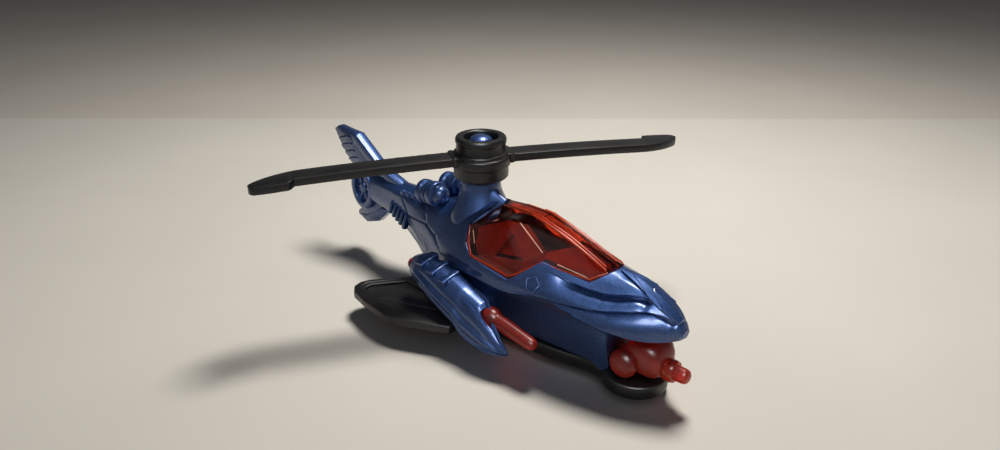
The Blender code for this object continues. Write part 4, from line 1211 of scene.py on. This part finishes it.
def build_rollers(context):
    """Two steel pins across the base, each with a dished wheel at either end."""
    black, steel = look_named("Black ABS, base"), look_named("Plain steel")
    for end, x in AXLES:
        body = end + "_rollers"
        pin = [(0.0, -4.75), (0.7, -4.72), (0.9, -4.6), (0.9, -4.5), (0.5, -4.4), (0.5, 4.4),
               (0.9, 4.5), (0.9, 4.6), (0.7, 4.72), (0.0, 4.75)]
        lying = placed(x, 0, WHEEL_RADIUS, 90)
        pin = turned(end + "_pin", softened(pin, 0.06), steel, 32, lying)
        finish(pin, steel, body, "axle_steel", end + "_axle")
        for side, flank in zip(SIDES, ("starboard", "port")):
            tyre = [(0.8, -0.75), (1.95, -0.75), (2.12, -0.68), (2.2, -0.55), (2.2, 0.55),
                    (2.12, 0.68), (1.95, 0.75), (1.6, 0.75), (1.45, 0.4), (0.95, 0.4), (0.9, 0.6),
                    (0.8, 0.6), (0.8, -0.75)]
            facing = placed(x, side * WHEEL_TRACK, WHEEL_RADIUS, -90 * side)
            tyre = turned(f"{end}_tyre_{flank}", softened(tyre, 0.06), black, 48, facing)
            finish(tyre, black, body, "black_plastic", f"{end}_wheel_{flank}")


def build_emblem(context):
    """Small plain five-sided raised outline on each flank, a generic mark."""
    enamel = look_named("Metallic blue")
    rims = []
    for side in SIDES:
        centre = Vector((18.9, side * 7.72, 15.0))
        out = Vector((0.12, side * 0.84, 0.53)).normalized()
        right = Vector((1, 0, -0.05)).cross(out).cross(out).normalized() * -1
        upward = out.cross(right).normalized()
        points = [centre + (right * math.cos(a) + upward * math.sin(a)) * 1.25
                  for a in (math.radians(90 + 72 * k) for k in range(6))]
        rims.append(rod("rim", points, 0.13, 8, 1.0))
    finish(merge("flank_mark", *rims), enamel, "airframe", "enamelled_metal", smooth=60)


# ---------------------------------------------------------------- stage
def build_stage(context):
    """Paper on a pale table, a soft lamp behind and above, a window, a room and the camera."""
    sizes = context.scene.toy_stage
    sheet = slab("paper_sheet", [(-120, -900), (900, -900), (900, 900), (-120, 900)], -0.4, 0.0)
    moved(sheet, Matrix.Rotation(sizes.sheet_turn, 4, "Z"))
    sheet.data.materials.append(paper("Uncoated cream paper", linear("#e3dfd6")))
    far = block("table_top", (-2500, 2500), (-2500, 2500), (-3.0, -0.5))
    far.data.materials.append(paper("Grey table, painted", linear("#ddd7cd"), 0.7))

    lamp = bpy.data.lights.new("lamp", "AREA")
    lamp.shape = "DISK"
    lamp.size = LAMP_SIZE
    lamp.energy = sizes.lamp_power
    lamp.color = (1.0, 0.965, 0.91)
    holder = bpy.data.objects.new("lamp", lamp)
    holder.matrix_world = pointing((0, 0, 0), -Vector(LAMP_PLACE)) @ placed(0, 0, 0, 180)
    holder.location = Vector(LAMP_PLACE) * MM
    holder.visible_camera = False
    context.scene.collection.objects.link(holder)

    # A soft window and its bright middle, which show only as reflections
    nose = Vector(NOSE)
    for name, way, wide, tall, share in WINDOWS:
        window = bpy.data.lights.new(name, "AREA")
        window.shape = "RECTANGLE"
        window.size = wide
        window.size_y = tall
        window.energy = share * sizes.window_power
        window.color = (0.92, 0.96, 1.0)
        pane = bpy.data.objects.new(name, window)
        place = nose + Vector(way).normalized() * WINDOW_DISTANCE
        pane.matrix_world = (nose - place).to_track_quat("-Z", "Y").to_matrix().to_4x4()
        pane.location = place * MM
        pane.visible_camera = False
        pane.visible_diffuse = False
        context.scene.collection.objects.link(pane)

    world = bpy.data.worlds.new("room")
    world.use_nodes = True
    room = world.node_tree
    shade = room.nodes["Background"]
    shade.inputs["Strength"].default_value = sizes.room_light
    # Walls light the toy from the side, less from behind it; the ceiling is dimmer
    toward = add(room, "ShaderNodeSeparateXYZ",
                 {"Vector": add(room, "ShaderNodeTexCoord").outputs["Generated"]})
    walls = ramp(room, toward.outputs["Z"], [(0.0, (1.0, 0.97, 0.95)), (0.26, (0.8, 0.8, 0.84)),
                                             (0.5, (0.1, 0.1, 0.12)), (1.0, (0.05, 0.05, 0.06))])
    side = ramp(room, add(room, "ShaderNodeMath", {"Value": toward.outputs["X"]},
                          operation="MULTIPLY_ADD").outputs["Value"], [(0.0, 0.25), (0.6, 1.0)])
    dim = add(room, "ShaderNodeMix", {"Factor": 1.0, "A": walls, "B": side}, data_type="RGBA",
              blend_type="MULTIPLY")
    room.links.new(dim.outputs["Result"], shade.inputs["Color"])
    context.scene.world = world
    context.scene.view_settings.view_transform = "Standard"

    camera = bpy.data.cameras.new("camera")
    camera.sensor_width = 36.0
    camera.lens = EYE_LENS
    camera.clip_start = 0.001
    yaw, pitch, roll = (math.radians(a) for a in EYE_ANGLES)
    forward = Vector((math.cos(yaw) * math.cos(pitch), math.sin(yaw) * math.cos(pitch),
                      -math.sin(pitch)))
    right = Vector((math.sin(yaw), -math.cos(yaw), 0))
    upward = right.cross(forward)
    turned_right = math.cos(roll) * right + math.sin(roll) * upward
    turned_up = math.cos(roll) * upward - math.sin(roll) * right
    place = Matrix((turned_right, turned_up, -forward)).transposed().to_4x4()
    place.translation = Vector(EYE_PLACE) * MM
    eye = bpy.data.objects.new("camera", camera)
    eye.matrix_world = place
    context.scene.collection.objects.link(eye)
    context.scene.camera = eye


def build_finishes(context):
    """Node trees and materials that the other buttons use."""
    finish_set = context.scene.toy_finishes
    turning_tree()
    row_tree()
    metallic_enamel(finish_set)
    clear = tuple(finish_set.clear_red)
    clear_polystyrene("Clear red polystyrene, thin canopy", clear)
    clear_polystyrene("Clear red polystyrene, thick", linear("#e23c22"), 0.32, 0.3)
    # Brighter, cloudier orange: a painted glow for the canopy's rim and the turret's collar
    clear_polystyrene("Clear red polystyrene, edge of the canopy", linear("#ff5a2a"), 0.2, 0.5)
    # Dull red-brown: painted shade for the inside of the canopy
    moulded_plastic("Dark red polystyrene, inner frame", linear("#6e4a40"), 0.35)
    # Pale tint for the canopy's crease ridges: a painted glint
    clear_polystyrene("Rubbed polystyrene, ridges of the canopy", linear("#ffc4a8"), 0.25, 0.8)
    black = tuple(finish_set.black)
    moulded_plastic("Black ABS, base", black, 0.4)
    moulded_plastic("Black ABS, rotor", tuple(c * 1.2 for c in black), 0.36)
    moulded_plastic("Black ABS, cockpit", linear("#2b2022"), 0.5)
    drawn_steel()


# ---------------------------------------------------------------- add-on
class ToyBodySizes(PropertyGroup):
    wall: FloatProperty(name="Wall", description="Thickness of the cast shell", default=0.0012,
                        unit="LENGTH")
    step_depth: FloatProperty(name="Step depth", description="Depth of the nose's feathered steps",
                              default=0.00105, unit="LENGTH")


class ToyRotorSizes(PropertyGroup):
    radius: FloatProperty(name="Radius", description="Mast to blade tip", default=0.037,
                          unit="LENGTH")
    blade_width: FloatProperty(name="Blade width", description="Width of the bar", default=0.004,
                               unit="LENGTH")
    thickness: FloatProperty(name="Thickness", description="Thickness of a blade", default=0.0014,
                             unit="LENGTH")
    droop: FloatProperty(name="Droop", description="How far a tip hangs", default=0.001,
                         unit="LENGTH")
    rest_angle: FloatProperty(name="Rest angle", description="First blade's angle from the nose",
                              default=math.radians(61.0), subtype="ANGLE", unit="ROTATION")


class ToyCanopySizes(PropertyGroup):
    wall: FloatProperty(name="Wall", description="Thickness of the clear shell", default=0.0007,
                        unit="LENGTH")


class ToyFinishes(PropertyGroup):
    enamel: FloatVectorProperty(name="Enamel", description="Blue of the sprayed casting",
                                default=linear("#2b4b82"), subtype="COLOR", size=3)
    clear_red: FloatVectorProperty(name="Clear red", description="Tint of the clear mouldings",
                                   default=linear("#ff8a66"), subtype="COLOR", size=3)
    black: FloatVectorProperty(name="Black", description="Black of the moulded plastic",
                               default=linear("#0e0d0d"), subtype="COLOR", size=3)


class ToyStageSizes(PropertyGroup):
    lamp_power: FloatProperty(name="Lamp", description="Power of the lamp in watts", default=0.6)
    window_power: FloatProperty(name="Window", description="Power of the window's glint in watts",
                                default=0.9)
    room_light: FloatProperty(name="Room", description="Strength of the room's light", default=0.34)
    sheet_turn: FloatProperty(name="Sheet turn", description="Angle of the paper's far edge",
                              default=math.radians(-45.0), subtype="ANGLE", unit="ROTATION")


class TOY_OT_finishes(Operator):
    """Make the toy's materials and node trees"""
    bl_idname = "toy.finishes"
    bl_label = "Finishes"

    def execute(self, context):
        build_finishes(context)
        return {"FINISHED"}


class TOY_OT_fuselage(Operator):
    """Build the cast body shell"""
    bl_idname = "toy.fuselage"
    bl_label = "Body shell"

    def execute(self, context):
        build_fuselage(context)
        return {"FINISHED"}


class TOY_OT_nose_strip(Operator):
    """Add the flat strip and chevrons on the nose"""
    bl_idname = "toy.nose_strip"
    bl_label = "Nose strip"

    def execute(self, context):
        build_nose_strip(context)
        return {"FINISHED"}


class TOY_OT_tail(Operator):
    """Build the fin, duct, lower fin and boom ribs"""
    bl_idname = "toy.tail"
    bl_label = "Tail"

    def execute(self, context):
        build_tail(context)
        return {"FINISHED"}


class TOY_OT_drums(Operator):
    """Build the exhaust drums"""
    bl_idname = "toy.drums"
    bl_label = "Exhaust drums"

    def execute(self, context):
        build_drums(context)
        return {"FINISHED"}


class TOY_OT_mast(Operator):
    """Build the mast and its domed head"""
    bl_idname = "toy.mast"
    bl_label = "Mast"

    def execute(self, context):
        build_mast(context)
        return {"FINISHED"}


class TOY_OT_pods(Operator):
    """Build the gun pods"""
    bl_idname = "toy.pods"
    bl_label = "Gun pods"

    def execute(self, context):
        build_pods(context)
        return {"FINISHED"}


class TOY_OT_guns(Operator):
    """Build the clear guns"""
    bl_idname = "toy.guns"
    bl_label = "Clear guns"

    def execute(self, context):
        build_guns(context)
        return {"FINISHED"}


class TOY_OT_turret(Operator):
    """Build the chin turret"""
    bl_idname = "toy.turret"
    bl_label = "Chin turret"

    def execute(self, context):
        build_turret(context)
        return {"FINISHED"}


class TOY_OT_canopy(Operator):
    """Build the faceted canopy and its rim, painted to glow"""
    bl_idname = "toy.canopy"
    bl_label = "Canopy"

    def execute(self, context):
        build_canopy(context)
        return {"FINISHED"}


class TOY_OT_cockpit(Operator):
    """Build the cockpit tub and seat"""
    bl_idname = "toy.cockpit"
    bl_label = "Cockpit"

    def execute(self, context):
        build_cockpit(context)
        return {"FINISHED"}


class TOY_OT_base(Operator):
    """Build the base, stub wings and peened posts"""
    bl_idname = "toy.base"
    bl_label = "Base and wings"

    def execute(self, context):
        build_base(context)
        return {"FINISHED"}


class TOY_OT_rotor(Operator):
    """Build the rotor"""
    bl_idname = "toy.rotor"
    bl_label = "Rotor"

    def execute(self, context):
        build_rotor(context)
        return {"FINISHED"}


class TOY_OT_rollers(Operator):
    """Build the axles and wheels"""
    bl_idname = "toy.rollers"
    bl_label = "Rollers"

    def execute(self, context):
        build_rollers(context)
        return {"FINISHED"}


class TOY_OT_emblem(Operator):
    """Build the plain mark on each flank"""
    bl_idname = "toy.emblem"
    bl_label = "Flank mark"

    def execute(self, context):
        build_emblem(context)
        return {"FINISHED"}


class TOY_OT_stage(Operator):
    """Set the floor, lamp, room and camera"""
    bl_idname = "toy.stage"
    bl_label = "Stage"

    def execute(self, context):
        build_stage(context)
        return {"FINISHED"}


OPERATORS = (TOY_OT_finishes, TOY_OT_stage, TOY_OT_fuselage, TOY_OT_nose_strip, TOY_OT_tail,
             TOY_OT_drums, TOY_OT_mast, TOY_OT_pods, TOY_OT_guns, TOY_OT_turret, TOY_OT_canopy,
             TOY_OT_cockpit, TOY_OT_base, TOY_OT_rotor, TOY_OT_rollers, TOY_OT_emblem)
GROUPS = {"toy_body": ToyBodySizes, "toy_rotor": ToyRotorSizes, "toy_canopy": ToyCanopySizes,
          "toy_finishes": ToyFinishes, "toy_stage": ToyStageSizes}


class TOY_PT_sidebar(Panel):
    """Sizes, colours and build buttons of the toy"""
    bl_idname = "TOY_PT_sidebar"
    bl_label = "Toy helicopter"
    bl_space_type = "VIEW_3D"
    bl_region_type = "UI"
    bl_category = "Toy helicopter"

    def draw(self, context):
        for key, group in GROUPS.items():
            box = self.layout.box()
            for name in group.__annotations__:
                box.prop(getattr(context.scene, key), name)
        for operator in OPERATORS:
            self.layout.operator(operator.bl_idname)


def register():
    for made in (*GROUPS.values(), *OPERATORS, TOY_PT_sidebar):
        bpy.utils.register_class(made)
    for key, group in GROUPS.items():
        setattr(bpy.types.Scene, key, PointerProperty(type=group))


def unregister():
    for key in GROUPS:
        delattr(bpy.types.Scene, key)
    for made in (TOY_PT_sidebar, *reversed(OPERATORS), *GROUPS.values()):
        bpy.utils.unregister_class(made)


def main():
    register()
    for operator in OPERATORS:
        getattr(bpy.ops.toy, operator.bl_idname.split(".")[1])()


if __name__ == "__main__":
    main()
